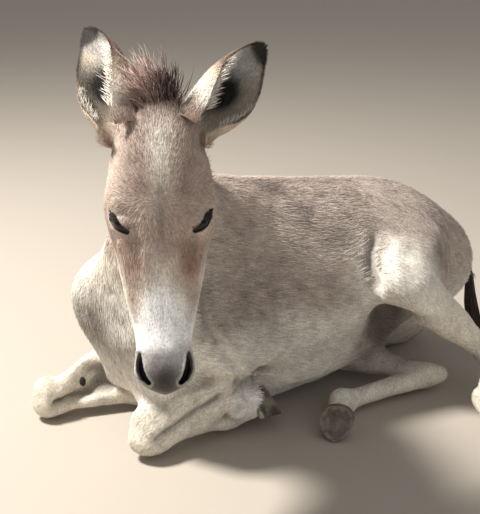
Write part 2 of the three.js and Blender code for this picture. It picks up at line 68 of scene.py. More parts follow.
# %% The head's own ruler
def unit(v):
    v = np.asarray(v, float)
    return v / np.linalg.norm(v, axis=-1, keepdims=True)


# 1 stands for the donkey's left and -1 for its right.
SIDES = {1: "left", -1: "right"}
HEAD_LENGTH = 430
EYE_DOWN = 0.405 * HEAD_LENGTH
EYE_OUT = -21
EYE_SIDE = 57
EYE_RADIUS = 19.5
HEAD_ALONG = unit((0.264, -0.154, -0.952))
HEAD_SIDE = unit(np.array((0.499, 0.866, 0)) - HEAD_ALONG * (HEAD_ALONG @ (0.499, 0.866, 0)))
HEAD_OUT = np.cross(HEAD_ALONG, HEAD_SIDE)
POLL_DRAWN = np.array((268, -258, 687)) * MM

eye_middle = sum(np.array(p) for side in SIDES.values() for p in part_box(f"eye_{side}")) / 4
POLL = eye_middle - (HEAD_ALONG * EYE_DOWN + HEAD_OUT * EYE_OUT) * MM
DRAWN = POLL - POLL_DRAWN


def at(x, y, z):
    """A point of the body's drawing frame, in millimetres, as a place in the model."""
    return np.array((x, y, z)) * MM + DRAWN


def on_head(side, down, out):
    """A point measured from the poll in millimetres."""
    return POLL + (HEAD_SIDE * side + HEAD_ALONG * down + HEAD_OUT * out) * MM


def head_ruler(points):
    """Side, down and out of many points, in millimetres from the poll."""
    away = (points - POLL) / MM
    return away @ HEAD_SIDE, away @ HEAD_ALONG, away @ HEAD_OUT


print("poll at", POLL.round(3), "drawing frame moved by", DRAWN.round(4))

# %% [markdown]
# ## The camera, the floor and the light
# The camera stands a little above the donkey's head, in front and to its left.
# A long lens keeps the face from swelling. The floor is a plain pale sheet. One
# strong lamp high on the viewer's left gives the form, a weak broad one opposite
# keeps the shaded side readable, and a dim sky fills the rest.

# %% Camera
CAMERA_PLACE = (1.4239, -1.2105, 0.945)
CAMERA_DOWN = 18.35
CAMERA_TURN = 55.4
CAMERA_LENS = 70.25


def put_in_scene(name, data):
    """A new object at the origin."""
    thing = bpy.data.objects.new(name, data)
    bpy.context.scene.collection.objects.link(thing)
    return thing


camera = put_in_scene("camera", bpy.data.cameras.new("camera"))
camera.location = CAMERA_PLACE
camera.rotation_euler = (math.radians(90 - CAMERA_DOWN), 0, math.radians(CAMERA_TURN))
camera.data.lens = CAMERA_LENS
camera.data.sensor_width = 36
bpy.context.scene.camera = camera
bpy.context.scene.view_settings.view_transform = "Standard"
print("camera", tuple(round(c, 3) for c in camera.location), "lens", camera.data.lens)

# %% Floor
FLOOR_SIZE = 80
FLOOR_SAND = (0.43, 0.385, 0.33, 1)


def plain_finish(name, colour, roughness):
    """A finish of one colour."""
    material = bpy.data.materials.new(name)
    material.use_nodes = True
    shader = material.node_tree.nodes["Principled BSDF"]
    shader.inputs["Base Color"].default_value = colour
    shader.inputs["Roughness"].default_value = roughness
    return material


bpy.ops.mesh.primitive_plane_add(size=FLOOR_SIZE)
floor = bpy.context.object
floor.name = "floor"
floor.data.materials.append(plain_finish("floor", FLOOR_SAND, 0.9))
print("floor", floor.dimensions[:2])


# %% Lamps and sky
LAMPS_AIM = at(60, 120, 260)
SKY_STRENGTH = 0.37


def lamp(name, direction, distance, size, power, colour):
    light = bpy.data.lights.new(name, "AREA")
    light.shape = "DISK"
    light.size, light.energy, light.color = size, power, colour
    holder = put_in_scene(name, light)
    way = Vector(direction).normalized()
    holder.location = Vector(LAMPS_AIM) + way * distance
    holder.rotation_euler = way.to_track_quat("Z", "Y").to_euler()


lamp("key", (-0.33, -0.48, 0.81), 4.0, 0.7, 350, (1.0, 0.965, 0.91))
lamp("fill", (0.95, -0.1, 0.45), 3.4, 3.0, 11, (0.97, 0.98, 1.0))
sky = bpy.data.worlds.new("sky")
sky.use_nodes = True
sky.node_tree.nodes["Background"].inputs["Color"].default_value = (1.0, 0.985, 0.97, 1)
sky.node_tree.nodes["Background"].inputs["Strength"].default_value = SKY_STRENGTH
bpy.context.scene.world = sky

# %% [markdown]
# ## From many solids to one skin
# The parts of the body were drawn apart, with hairline gaps. A skin has none.
# Boolean unions would join them but leave a hard seam at every joint. So each
# solid is swelled by a little over half a millimetre until neighbours overlap,
# and a voxel remesh then wraps one even net of squares round them all. The
# eyeballs go in as well, because lids are skin stretched over a ball.

# %% Swell and join the flesh
EYES = ["eye_left", "eye_right"]
APART = EYES + ["mane", "tail_switch", "ear_left", "ear_right"]
FLESH = [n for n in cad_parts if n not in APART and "hoof" not in n]
SWELL = 0.6 * MM
LID = 2.4


def as_mesh(bm, name):
    """A new mesh from a finished bmesh, which is freed."""
    mesh = bpy.data.meshes.new(name)
    bm.to_mesh(mesh)
    bm.free()
    return mesh


def add_swollen(joined, name, by):
    """Adds a solid, moved out by some metres along its normals."""
    part = bmesh.new()
    part.from_mesh(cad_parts[name].data)
    bmesh.ops.remove_doubles(part, verts=part.verts, dist=1e-5)
    part.normal_update()
    for v in part.verts:
        v.co += v.normal * by
    mesh = as_mesh(part, "part")
    joined.from_mesh(mesh)
    bpy.data.meshes.remove(mesh)


joined = bmesh.new()
for name in FLESH:
    add_swollen(joined, name, SWELL)
for name in EYES:
    add_swollen(joined, name, LID * MM)
# Balls of flesh that round out the knees, the hock, a fetlock and a heel: place, radius.
FILLERS = [
    ((97, -200, 70), 34), ((-150, -289, 60), 32), ((207, 449, 36), 22), ((186, 197, 33), 31),
    ((143, -26, 67), 25), ((146, 3, 73), 20), ((104, -208, 40), 36),
]
for place, radius in FILLERS:
    middle = Vector(at(*place))
    ball = bmesh.ops.create_icosphere(joined, subdivisions=3, radius=radius * MM)
    for v in ball["verts"]:
        v.co += middle
print("joined", len(FLESH), "solids,", len(FILLERS), "fillers,", len(joined.faces), "faces")

# %% Wrap one net round them
VOXEL = 7.8 * MM


def result_of(holder):
    """The plain mesh that an object's modifiers give."""
    depsgraph = bpy.context.evaluated_depsgraph_get()
    return bpy.data.meshes.new_from_object(holder.evaluated_get(depsgraph))


def wrapped(mesh, voxel):
    """The mesh wrapped in an even net of squares."""
    holder = put_in_scene("wrap", mesh)
    voxels = holder.modifiers.new("voxels", "REMESH")
    voxels.mode, voxels.voxel_size = "VOXEL", voxel
    net = result_of(holder)
    bpy.data.objects.remove(holder)
    return net


net = wrapped(as_mesh(joined, "rough"), VOXEL)
print("net of", len(net.polygons), "squares")


# %% Keep its largest closed shell
def read_points(mesh):
    flat = np.empty(len(mesh.vertices) * 3)
    mesh.vertices.foreach_get("co", flat)
    return flat.reshape(-1, 3)


def read_corners(mesh):
    return np.array([list(f.vertices) for f in mesh.polygons])


def read_edges(mesh):
    flat = np.empty(len(mesh.edges) * 2, int)
    mesh.edges.foreach_get("vertices", flat)
    return flat.reshape(-1, 2)


def shells(count, edges):
    """A number for each vertex that is the same all over one shell."""
    label = np.arange(count)
    while True:
        low = np.minimum(label[edges[:, 0]], label[edges[:, 1]])
        new = label.copy()
        np.minimum.at(new, edges[:, 0], low)
        np.minimum.at(new, edges[:, 1], low)
        new = new[new]
        if (new == label).all():
            return label
        label = new


label = shells(len(net.vertices), read_edges(net))
names, counts = np.unique(label, return_counts=True)
skin_bm = bmesh.new()
skin_bm.from_mesh(net)
skin_bm.verts.ensure_lookup_table()
spare = [skin_bm.verts[i] for i in np.flatnonzero(label != names[counts.argmax()])]
bmesh.ops.delete(skin_bm, geom=spare, context="VERTS")
print("shells", len(names), "kept", len(skin_bm.verts), "points, dropped", len(spare))

# %% [markdown]
# ## Which part of the body is this?
# Coat depth, smoothing and the lie of the hair all differ from part to part. So
# each point of the skin asks for the nearest solid and takes that part's
# number. Averaging such numbers over neighbours then turns hard borders into
# soft ones, as flesh runs from one part into the next.

# %% Ask the nearest solid
parts = sorted(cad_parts)


def solids_tree():
    corners, faces, owner = [], [], []
    for number, name in enumerate(parts):
        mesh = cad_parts[name].data
        mesh.calc_loop_triangles()
        start = len(corners)
        corners += [v.co.copy() for v in mesh.vertices]
        faces += [[start + i for i in t.vertices] for t in mesh.loop_triangles]
        owner += [number] * len(mesh.loop_triangles)
    return BVHTree.FromPolygons(corners, faces), owner


solids, owner = solids_tree()


def part_of(points):
    return np.array([owner[solids.find_nearest(Vector(p))[2]] for p in points])


def by_part(table, part, default):
    """One number for each point. The last word of the table that a part's name holds counts."""
    values = np.full(len(part), float(default))
    for number, name in enumerate(parts):
        for word, value in table.items():
            if word in name:
                values[part == number] = value
    return values


def as_arrays(bm):
    bm.verts.index_update()
    points = np.array([v.co for v in bm.verts])
    edges = np.array([[v.index for v in e.verts] for e in bm.edges])
    return points, edges


points, edges = as_arrays(skin_bm)
part = part_of(points)
print({parts[n]: int((part == n).sum()) for n in np.unique(part)})

# %% [markdown]
# ## Smoothing without losing the legs
# The solids are made of flat faces. A subdivision would round them but swell or
# pinch where parts meet. Averaging each point with its neighbours melts the
# edges evenly, only thin parts would melt away too. So large round parts are
# averaged strongly, and legs and face weakly. Then the skin is drawn in by the
# depth of the coat that will grow on it.


# %% Average over the surface
class Net:
    """The neighbours of every point, for averages over the surface."""

    def __init__(self, count, edges):
        self.count = count
        self.a = np.concatenate([edges[:, 0], edges[:, 1]])
        self.b = np.concatenate([edges[:, 1], edges[:, 0]])
        self.degree = np.bincount(self.a, minlength=count)

    def mean(self, values):
        if values.ndim == 1:
            return np.bincount(self.a, values[self.b], self.count) / self.degree
        return np.stack([self.mean(column) for column in values.T], 1)

    def soften(self, values, rounds, share=0.5):
        weight = share if np.ndim(share) == 0 or values.ndim == 1 else share[:, None]
        for _ in range(rounds):
            values = values + (self.mean(values) - values) * weight
        return values


net = Net(len(points), edges)
MELT = {
    "trunk": 1, "neck": 0.7, "head": 0.4, "leg": 0.1, "tail": 0.5,
    "thigh": 0.9, "gaskin": 0.35, "forearm": 0.35,
}
MELT_ROUNDS = 26
melt = by_part(MELT, part, 0.2)
border = np.zeros(len(points))
meets = part[edges[:, 0]] != part[edges[:, 1]]
border[edges[meets].ravel()] = 1
border = np.clip(net.soften(border, 7) * 3.0, 0, 1)
melt = net.soften(melt, 6) * (1 - 0.75 * border)
points = net.soften(points, MELT_ROUNDS, melt * 0.5)
print("melt from", melt.min().round(2), "to", melt.max().round(2))


# %% Draw the skin in by the coat's depth
def face_list(bm):
    return [[v.index for v in f.verts] for f in bm.faces]


def place_points(bm, points):
    for v, p in zip(bm.verts, points):
        v.co = p


def normals_of(points, corners):
    """Outward directions of the points, from quads or triangles given as rows of indices."""
    a, b, c = (points[corners[:, i]] for i in range(3))
    d = points[corners[:, -1]]
    across = np.cross(c - a, d - b) if corners.shape[1] == 4 else np.cross(b - a, c - a)
    total = np.zeros_like(points)
    for i in range(corners.shape[1]):
        for k in range(3):
            total[:, k] += np.bincount(corners[:, i], across[:, k], len(points))
    return unit(total + 1e-12)


# How deep the coat is on each part, in millimetres.
DEPTH = {
    "trunk": 4.5, "neck": 4.5, "head": 2.0, "eye": 0.4, "foreleg": 2.6, "hindleg": 3.0, "tail": 3.0,
}
depth = net.soften(by_part(DEPTH, part, 1.0), 12)
quads = np.array(face_list(skin_bm))
points = points - normals_of(points, quads) * depth[:, None] * MM
place_points(skin_bm, points)
print("coat depth", depth.min().round(1), "to", depth.max().round(1), "mm")

# %% [markdown]
# ## A finer net where the face needs it
# Lids, nostrils, lips and the folded forelegs are finer than the squares of the
# net. A finer voxel for the whole body would cost millions of faces. Only their
# own neighbourhood is split, again and again, so the skin stays light.


# %% Split squares near a place
def split_near(bm, chosen):
    """Splits the edges of every face whose middle is chosen."""
    faces = list(bm.faces)
    middles = np.array([f.calc_center_median() for f in faces])
    wanted = chosen(middles)
    near = {e for f, w in zip(faces, wanted) if w for e in f.edges}
    bmesh.ops.subdivide_edges(bm, edges=list(near), cuts=1, use_grid_fill=True)


EYE_INWARD = 5


def eye_at(side):
    return on_head(side * (EYE_SIDE - EYE_INWARD), EYE_DOWN, EYE_OUT + 2)


def about_eyes(reach):
    return lambda m: np.minimum(*(np.linalg.norm(m - eye_at(s), axis=1) for s in SIDES)) < reach * MM


# Boxes in millimetres: on the head side, down and out, and for the legs x, y and z.
HEAD_BOX = ((-100, 100), (-45, 450), (-150, 60))
MUZZLE_BOX = ((-100, 100), (352, 450), (-72, 60))
NOSTRIL_BOX = ((17, 50), (358, 422), (-34, 30))
FORELEGS_BOX = ((-160, 190), (-340, 60), (4, 118))


def within(box, along):
    return np.all([(a > low) & (a < high) for a, (low, high) in zip(along, box)], axis=0)


def about_head(m):
    return within(HEAD_BOX, head_ruler(m))


def about_muzzle(m):
    return within(MUZZLE_BOX, head_ruler(m))


def about_nostrils(m):
    side, down, out = head_ruler(m)
    return within(NOSTRIL_BOX, (abs(side), down, out))


def about_forelegs(m):
    return within(FORELEGS_BOX, ((m - DRAWN) / MM).T)


for chosen in (about_head, about_forelegs, about_eyes(34), about_muzzle, about_eyes(27), about_nostrils):
    split_near(skin_bm, chosen)
bmesh.ops.triangulate(skin_bm, faces=skin_bm.faces[:])
points, edges = as_arrays(skin_bm)
corners = np.array(face_list(skin_bm))
net = Net(len(points), edges)
side, down, out = head_ruler(points)
on_face = about_head(points)
points = net.soften(points, 4, on_face * 0.5)
print("skin now has", len(points), "points,", len(corners), "triangles")

# %% [markdown]
# ## Modelling the bones and muscles
# A donkey's face is bone under thin skin: a brow over each eye, a hollow behind
# it, a ridge down each cheek and two edges along the nose. The body shows the
# shoulder blade, the muscles of the forearm and the fold of the flank. A
# sculptor would push and pull them with a brush. Here each is a soft push in or
# out with its place, its half sizes and its height, so it can be read and
# changed as a number.


# %% Soft hills, ridges and lines
def bump_on(points, middle, axes, sizes, height):
    """A soft hill of that height along the skin's normal, in metres."""
    away = (points - middle) @ np.array(axes).T / (np.array(sizes) * MM)
    return np.exp(-2 * (away**2).sum(1)) * height * MM


def ridge_on(points, start, end, width, height):
    """A soft ridge between two places."""
    way = end - start
    share = np.clip((points - start) @ way / (way @ way), 0, 1)
    away = np.linalg.norm(points - start - share[:, None] * way, axis=1) / (width * MM)
    return np.exp(-2 * away**2) * height * MM


def line_distance(points, line):
    """Distance in millimetres from a bent line, and the share along it."""
    best = np.full(len(points), 1e9)
    share = np.zeros(len(points))
    steps = len(line) - 1
    for i in range(steps):
        a, b = line[i], line[i + 1]
        way = b - a
        t = np.clip((points - a) @ way / (way @ way), 0, 1)
        d = np.linalg.norm(points - a - t[:, None] * way, axis=1) / MM
        share = np.where(d < best, (i + t) / steps, share)
        best = np.minimum(best, d)
    return best, share


def ease(x):
    """0 below 0, 1 above 1, and a soft rise between."""
    x = np.clip(x, 0, 1)
    return x * x * (3 - 2 * x)


def hill(away, half):
    """1 where away is 0, and falling softly to 0 on both sides of it."""
    return np.exp(-((away / half) ** 2))


print("a hill of 1 has fallen to", round(float(hill(1, 1)), 2), "at its half size")

# %% Bones and hollows of the head
# A place on the head's ruler, three half sizes and a height, all in millimetres.
HEAD_AXES = (HEAD_SIDE, HEAD_ALONG, HEAD_OUT)
HEAD_HILLS = [
    ((57, 146, -10), (20, 13, 16), 4.5),
    ((50, 112, -16), (15, 20, 14), -3.5),
    ((66, 175, -52), (16, 45, 34), 3.5),
    ((46, 250, -46), (12, 60, 16), -3.0),
    ((40, 330, -36), (12, 40, 14), -2.0),
    ((44, 398, -22), (12, 15, 15), 3.0),
    ((0, 395, -2), (14, 26, 10), 1.5),
    ((0, 418, -52), (20, 12, 12), 3.5),
    ((54, 6, -16), (24, 32, 26), -8.0),
    ((60, 48, -45), (26, 46, 66), -10.0),
    ((64, 142, -50), (26, 40, 52), 7.5),
    ((26, 236, 0), (10, 60, 10), 1.5),
    ((0, 300, 0), (9, 70, 10), -1.4),
]
# Two ends, a width and a height.
HEAD_RIDGES = [
    ((63, 205, -20), (50, 285, -20), 7, 3.0),
    ((27, 215, -2), (24, 335, -4), 6, 1.6),
    ((45, 178, 0), (34, 214, 0), 8, -1.6),
]


def pushes_on_head(points):
    push = np.zeros(len(points))
    for s in SIDES:
        for (x, y, z), sizes, height in HEAD_HILLS:
            share = 0.5 if x == 0 else 1
            push += share * bump_on(points, on_head(s * x, y, z), HEAD_AXES, sizes, height)
        for (x0, y0, z0), (x1, y1, z1), width, height in HEAD_RIDGES:
            push += ridge_on(points, on_head(s * x0, y0, z0), on_head(s * x1, y1, z1), width, height)
    return push


push = pushes_on_head(points)
points = points + normals_of(points, corners) * push[:, None]
print("pushes on the head from", (push.min() / MM).round(1), "to", (push.max() / MM).round(1), "mm")

# %% A longer muzzle
MUZZLE_TOP = 300
MUZZLE_STRETCH = 0.09
below = np.clip(down - MUZZLE_TOP, 0, None) * (on_face & (out > -140))
points = points + HEAD_ALONG * (below * MUZZLE_STRETCH * MM)[:, None]
print("muzzle longer by", (below.max() * MUZZLE_STRETCH).round(1), "mm")

# %% Where the body has creases and muscles
# Places are in the drawing frame, in millimetres: a line, its width and its height.
BODY_CREASES = [
    ([(133, -204, 50), (137, -175, 63), (139, -151, 74), (145, -119, 91), (153, -75, 104)], 8, -17),
    ([(-115, -284, 42), (-106, -229, 49), (-101, -198, 57), (-92, -160, 64)], 11, -26),
    ([(-116, -235, 68), (-108, -195, 84), (-100, -160, 98)], 20, -14),
    ([(144, -112, 340), (151, -109, 307), (164, -107, 272), (169, -89, 231), (169, -65, 191),
      (171, -42, 156), (166, -34, 118)], 12, -16),
    ([(150, 300, 350), (165, 277, 334), (173, 266, 305), (200, 262, 274)], 11, -11),
    ([(20, -262, 330), (60, -262, 290), (96, -236, 250)], 15, -8),
    ([(-60, -238, 330), (-52, -246, 260), (-30, -244, 200), (10, -222, 150)], 15, -10),
    ([(60, -254, 320), (96, -250, 290), (120, -226, 230)], 13, -9),
    ([(126, -140, 360), (132, -176, 300), (128, -206, 250)], 26, 7),
    ([(140, -196, 60), (130, -150, 96), (136, -110, 120)], 16, 5),
    ([(177, 345, 338), (204, 297, 316), (239, 280, 282), (255, 307, 245), (256, 350, 205)], 17, 7),
    ([(-128, -250, 84), (-132, -180, 110)], 20, 5),
    ([(100, 520, 330), (170, 440, 300)], 34, 4),
    ([(196, 424, 40), (184, 320, 36), (178, 214, 30)], 30, 4.5),
    ([(210, 424, 40), (190, 432, 36)], 22, 5),
    ([(128, -204, 44), (104, -210, 40)], 26, 6),
    ([(124, -212, 60), (146, -196, 44)], 15, 3),
    ([(163, -36, 78), (166, -30, 70)], 8, -7),
    ([(136, -38, 90), (144, -50, 68), (140, -56, 46)], 7, -11),
    ([(128, -8, 92), (150, 10, 92), (160, 26, 84)], 8, -8),
]
# A place, half sizes, the way it is pushed, and the parts that move.
BODY_MOVES = [
    ((176, 326, 158), (58, 60, 66), (-62, 44, 26), ("trunk", "hindleg_left_thigh")),
    ((178, 28, 92), (46, 62, 46), (-62, 6, 22), ("trunk", "foreleg_left_forearm")),
    ((-128, -205, 84), (22, 60, 26), (-16, 8, 10), ("foreleg_right_forearm",)),
]


print(len(BODY_CREASES), "creases and muscles,", len(BODY_MOVES), "moves")


# %% Press them in
def model_body(points):
    push = sum(
        np.exp(-((line_distance(points, [at(*p) for p in line])[0] / width) ** 2)) * height
        for line, width, height in BODY_CREASES
    )
    points = points + normals_of(points, corners) * (push * (1 - on_face) * MM)[:, None]
    fine_part = part_of(points)
    for place, sizes, way, starts in BODY_MOVES:
        share = np.exp(-(((points - at(*place)) / (np.array(sizes) * MM)) ** 2).sum(1))
        chosen = [i for i, name in enumerate(parts) if name.startswith(starts)]
        share = share * net.soften(np.isin(fine_part, chosen).astype(float), 4)
        for middle, radius in FILLERS:
            away = np.linalg.norm(points - at(*middle), axis=1) / MM
            share = share * ease((away - radius * 1.04) / 6)
        points = points + np.array(way) * share[:, None] * MM
    points = net.soften(points, 2, (1 - on_face) * 0.3)
    points[:, 2] = np.maximum(points[:, 2], 0.5 * MM)
    return points


before = points
points = model_body(points)
print("moved by up to", (np.linalg.norm(points - before, axis=1).max() / MM).round(1), "mm")

# %% [markdown]
# ## Lids
# The lids are the skin itself. Close to each eye it is drawn to a ball a little
# larger than the eyeball. The opening is a slanted almond: points near its
# outline slide onto it, which makes a crisp rim, and points within it go behind
# the eyeball. A crease above and a softer one below finish the lids.

# %% The slanted almond
GAZE = (0.81, 0, 0.587)
SLIT = (-0.42, 0.74, 0.52)
TO_UPPER_LID = (-0.434, -0.668, 0.599)
SLIT_HALF = 24
SLIT_OPEN = 6.4


def on_side(s, way):
    """A direction measured on the head's left, taken to the left or right eye."""
    return unit(on_head(s * way[0], way[1], way[2]) - POLL)


def eye_axes(s):
    return on_side(s, GAZE), on_side(s, SLIT), on_side(s, TO_UPPER_LID)


def eye_ruler(points, s):
    """Out along the gaze, along the slit, up over the lid, and in all, in millimetres."""
    away = (points - eye_at(s)) / MM
    return *(away @ axis for axis in eye_axes(s)), np.linalg.norm(away, axis=1)


def almond(x):
    """Half the height of the opening at a place along the slit."""
    share = np.clip(1 - (x / SLIT_HALF) ** 2, 0, 1)
    return SLIT_OPEN * share**0.8 * (1 - 0.3 * x / SLIT_HALF)


print("opening", 2 * SLIT_HALF, "mm long and", 2 * almond(0), "mm high")

# %% Draw the lids round the balls
LID_BALL = EYE_RADIUS + 2.2
BEHIND = EYE_RADIUS - 3.5
RIM_BALL = EYE_RADIUS + 0.9
LASH_BALL = EYE_RADIUS + 1.6
LID_REACH = 36


def lid_ball(x, y, beyond):
    """How far from the eye's middle the lid lies: a rolled rim, and a fold above and below."""
    upper = 0.7 * hill(y - 11.5 + 0.012 * x * x, 2.0)
    lower = 0.6 * hill(y + 9.5 - 0.01 * x * x, 2.2)
    rim = 0.5 * hill(beyond - 1.6, 1.5)
    return LID_BALL + rim - upper - lower


def make_lids(points, s):
    z, x, y, far = eye_ruler(points, s)
    front = (far < LID_REACH) & (z > 0)
    beyond = abs(y) - almond(x)
    flat = np.hypot(x / 1.3, y)
    ball = lid_ball(x, y, beyond)
    hold = np.where(far > ball, ease((15.5 - flat) / 9), ease((27 - flat) / 4)) * front
    inside = front & (beyond < 0) & (abs(x) < SLIT_HALF)
    edge = front & (abs(beyond) < 0.8) & (abs(x) < SLIT_HALF + 0.5)
    y = np.where(edge, np.sign(y) * almond(x), y)
    deep = inside & ~edge
    ball = np.where(deep, BEHIND, np.where(edge, RIM_BALL, ball))
    hold = np.where(inside | edge, 1, hold)
    height = np.sqrt(np.clip(ball**2 - x**2 - y**2, 4, None))
    gaze, slit, lid = eye_axes(s)
    drawn = eye_at(s) + (gaze * height[:, None] + slit * x[:, None] + lid * y[:, None]) * MM
    return points + (drawn - points) * hold[:, None], int(deep.sum())


for s in SIDES:
    points, opened = make_lids(points, s)
    print(SIDES[s], "eye opened over", opened, "points")


# %% Smooth round the opening
def eye_distance(points):
    """Millimetres from the rim of the nearer eye's opening."""
    nearest = np.full(len(points), 200.0)
    for s in SIDES:
        z, x, y = eye_ruler(points, s)[:3]
        along = np.clip(x, -SLIT_HALF, SLIT_HALF)
        over = np.clip(abs(y) - almond(along), 0, None)
        rim = np.hypot(np.hypot(x - along, over), np.clip(8 - z, 0, None))
        nearest = np.minimum(nearest, rim)
    return nearest


from_rim = eye_distance(points)
ring = ease((from_rim - 1.2) / 2.5) * ease((19 - from_rim) / 6)
points = net.soften(points, 14, 0.6 * ring)
print("smoothed", int((ring > 0.5).sum()), "points round the lids")

# %% [markdown]
# ## Nostrils and mouth
# A resting donkey's nostril is a comma: a narrow slit that starts high and
# curls in at the bottom, with a firm outer wing. It is pressed in as a wall
# round a drawn line and not cut out, so the skin stays closed. The mouth is a
# shallow line under a soft, blunt upper lip.


# %% Nostrils
NOSTRIL_LINE = [(37.5, 373, -10), (38.5, 384, -10), (37, 397, -9), (32, 409, -9), (25, 417, -11)]
NOSTRIL_HALF = 4.3
NOSTRIL_DEEP = 17


def flat_on_face(points, s):
    """The points with their height over the face taken out, so a line drawn on the face is a wall."""
    side, down, out = head_ruler(points)
    return np.stack([side * s, down, out * 0.35], 1) * MM


def nostril_wall(points, s):
    line = [np.array((x, y, z * 0.35)) * MM for x, y, z in NOSTRIL_LINE]
    near, share = line_distance(flat_on_face(points, s), line)
    half = NOSTRIL_HALF * (0.75 + 0.5 * np.sin(math.pi * share))
    return near, half, share


nostril_marks = []
into_nostril = -(HEAD_OUT * 0.8 + HEAD_ALONG * -0.35)
for s in SIDES:
    side, down, out = head_ruler(points)
    front = (side * s > 8) & (out > -45)
    near, half, share = nostril_wall(points, s)
    depth_in = np.clip(1.25 - near / half, 0, 1) ** 0.7 * front
    wing = 2.6 * hill(near - half - 3.2, 2.6) * front * (side * s > 33)
    inner = 1.2 * hill(near - half - 2.5, 2.2) * front * (side * s <= 33)
    way = into_nostril + HEAD_SIDE * (-0.25 * s)
    normal = normals_of(points, corners)
    points = points + way * (depth_in * NOSTRIL_DEEP)[:, None] * MM + normal * ((wing + inner) * MM)[:, None]
    marked = front & (near - half < 8)
    nostril_marks += list(zip(points[marked], (near - half)[marked]))
    print(SIDES[s], "nostril, deepest", (depth_in.max() * NOSTRIL_DEEP).round(1), "mm")

# %% Mouth line
MOUTH = [(0, 442, -46), (18, 435, -46), (34, 414, -52), (42, 388, -58), (45, 361, -62)]
groove = np.zeros(len(points))
for s in SIDES:
    line = [on_head(s * x, y, z) for x, y, z in MOUTH]
    near, share = line_distance(points, line)
    groove += 3.2 * hill(near, 2.2) * (1 - 0.5 * share)
    groove -= 1.2 * hill(near - 5, 3) * (1 - share)
points = points - normals_of(points, corners) * (groove * MM)[:, None]
print("mouth line", groove.max().round(1), "mm deep")

# %% [markdown]
# ## Ears
# A donkey's ear is a long leaf rolled round its root and open in front. A few
# stations up the leaf give its radius and how far its edges wrap round. Toward
# the tip it narrows in a round, and its middle bows a little toward the other
# ear. The leaf is thin, so it is built on its own and then joined to the head
# by a boolean union.

# %% The leaf
EAR_LENGTH = 204
EAR_WALL = 5.4
EAR_THINS = 0.55
EAR_SET_BACK = 24
EAR_SHARES = [0, 0.16, 0.36, 0.56, 0.76, 0.9, 0.98, 1]
EAR_RADII = [36.0, 44.0, 49.0, 42.5, 34.0, 30.0, 28.0, 27.0]
EAR_EDGES = [158, 126, 104, 94, 84, 80, 80, 80]
EAR_ROOTS = {1: (0.66, -0.66, -0.36), -1: (-0.37, -0.83, -0.42)}
EAR_BEND = {1: 3, -1: 15}
EAR_NAMES = {s: f"ear_{side_name}" for s, side_name in SIDES.items()}
EAR_RINGS = 54
EAR_ROUND = 26
LIP_SHARE = 0.985


def ear_axes(s):
    root = on_head(s * 55, 0.045 * HEAD_LENGTH, -52)
    axis = unit(on_head(*EAR_ROOTS[s]) - POLL)
    opening = unit(on_head(s * 0.6, 0, 0.8) - POLL)
    opening = unit(opening - axis * (opening @ axis))
    return root, axis, opening, np.cross(axis, opening)


def ear_bow(s, share):
    """How far the middle of the leaf bows toward the other ear, in millimetres."""
    return EAR_BEND[s] * np.sin(math.pi * np.clip(share, 0, 1))


def ear_narrowing(share):
    """1 along the leaf and falling in a round to 0.2 at the tip."""
    return np.sqrt(1 - 0.96 * np.clip((share - 0.5) / 0.5, 0, 1) ** 2)


def ear_radius(share):
    """Radius of the leaf: its stations, smoothed, and narrowed toward the tip."""
    widths = [np.interp(np.clip(share + d, 0, 1), EAR_SHARES, EAR_RADII) for d in (-0.06, 0, 0.06)]
    return sum(widths) / 3 * (0.6 + 0.4 * ear_narrowing(share))


def ear_wall(share):
    """Thickness of the leaf, which thins toward its tip."""
    return EAR_WALL * (1 - EAR_THINS * np.clip(share, 0, 1))


def smooth_shares(count):
    """Stations close together near the tip, with two below the root for the join."""
    return np.concatenate([[-0.12, -0.05], np.linspace(0, 1, count - 2) ** 0.93])


def ear_point(s, share, turn, inward):
    """A place on the leaf: turn goes from -1 to 1 between its edges."""
    root, axis, opening, across = ear_axes(s)
    radius = ear_radius(share)
    edge = math.radians(np.interp(share, EAR_SHARES, EAR_EDGES)) * ear_narrowing(share)
    middle = root + axis * EAR_LENGTH * share * MM + opening * (radius - EAR_SET_BACK) * MM
    middle = middle + across * math.copysign(ear_bow(s, share), -s * (across @ HEAD_SIDE)) * MM
    angle = turn * edge
    out = radius - inward
    return middle + (across * math.sin(angle) - opening * math.cos(angle)) * out * MM


print("ear", EAR_LENGTH, "mm long and", (2 * ear_radius(0.36)).round(), "mm wide")


# %% Build the two leaves
def ear_leaf(s):
    leaf = bmesh.new()
    rings = []
    for share in smooth_shares(EAR_RINGS):
        wall = ear_wall(share)
        turns = np.linspace(-1, 1, EAR_ROUND)
        pinch = [0.5 * abs(t) ** 12 for t in turns]
        back = [ear_point(s, share, t * LIP_SHARE, wall * p) for t, p in zip(turns, pinch)]
        front = [ear_point(s, share, t * LIP_SHARE, wall * (1 - p)) for t, p in zip(turns, pinch)]
        front.reverse()
        lips = [ear_point(s, share, t, wall * 0.5) for t in (1, -1)]
        rings.append([leaf.verts.new(p) for p in back + [lips[0]] + front + [lips[1]]])
    for low, high in zip(rings, rings[1:]):
        for i in range(len(low)):
            j = (i + 1) % len(low)
            leaf.faces.new((low[i], low[j], high[j], high[i]))
    leaf.faces.new(rings[0][::-1])
    leaf.faces.new(rings[-1])
    bmesh.ops.recalc_face_normals(leaf, faces=leaf.faces[:])
    bmesh.ops.triangulate(leaf, faces=leaf.faces[:])
    return as_mesh(leaf, "leaf")


leaves = {s: ear_leaf(s) for s in SIDES}
print("ear leaves of", [len(m.polygons) for m in leaves.values()], "faces")

# %% Join the ears to the head
place_points(skin_bm, points)
skin = put_in_scene("skin", as_mesh(skin_bm, "skin"))


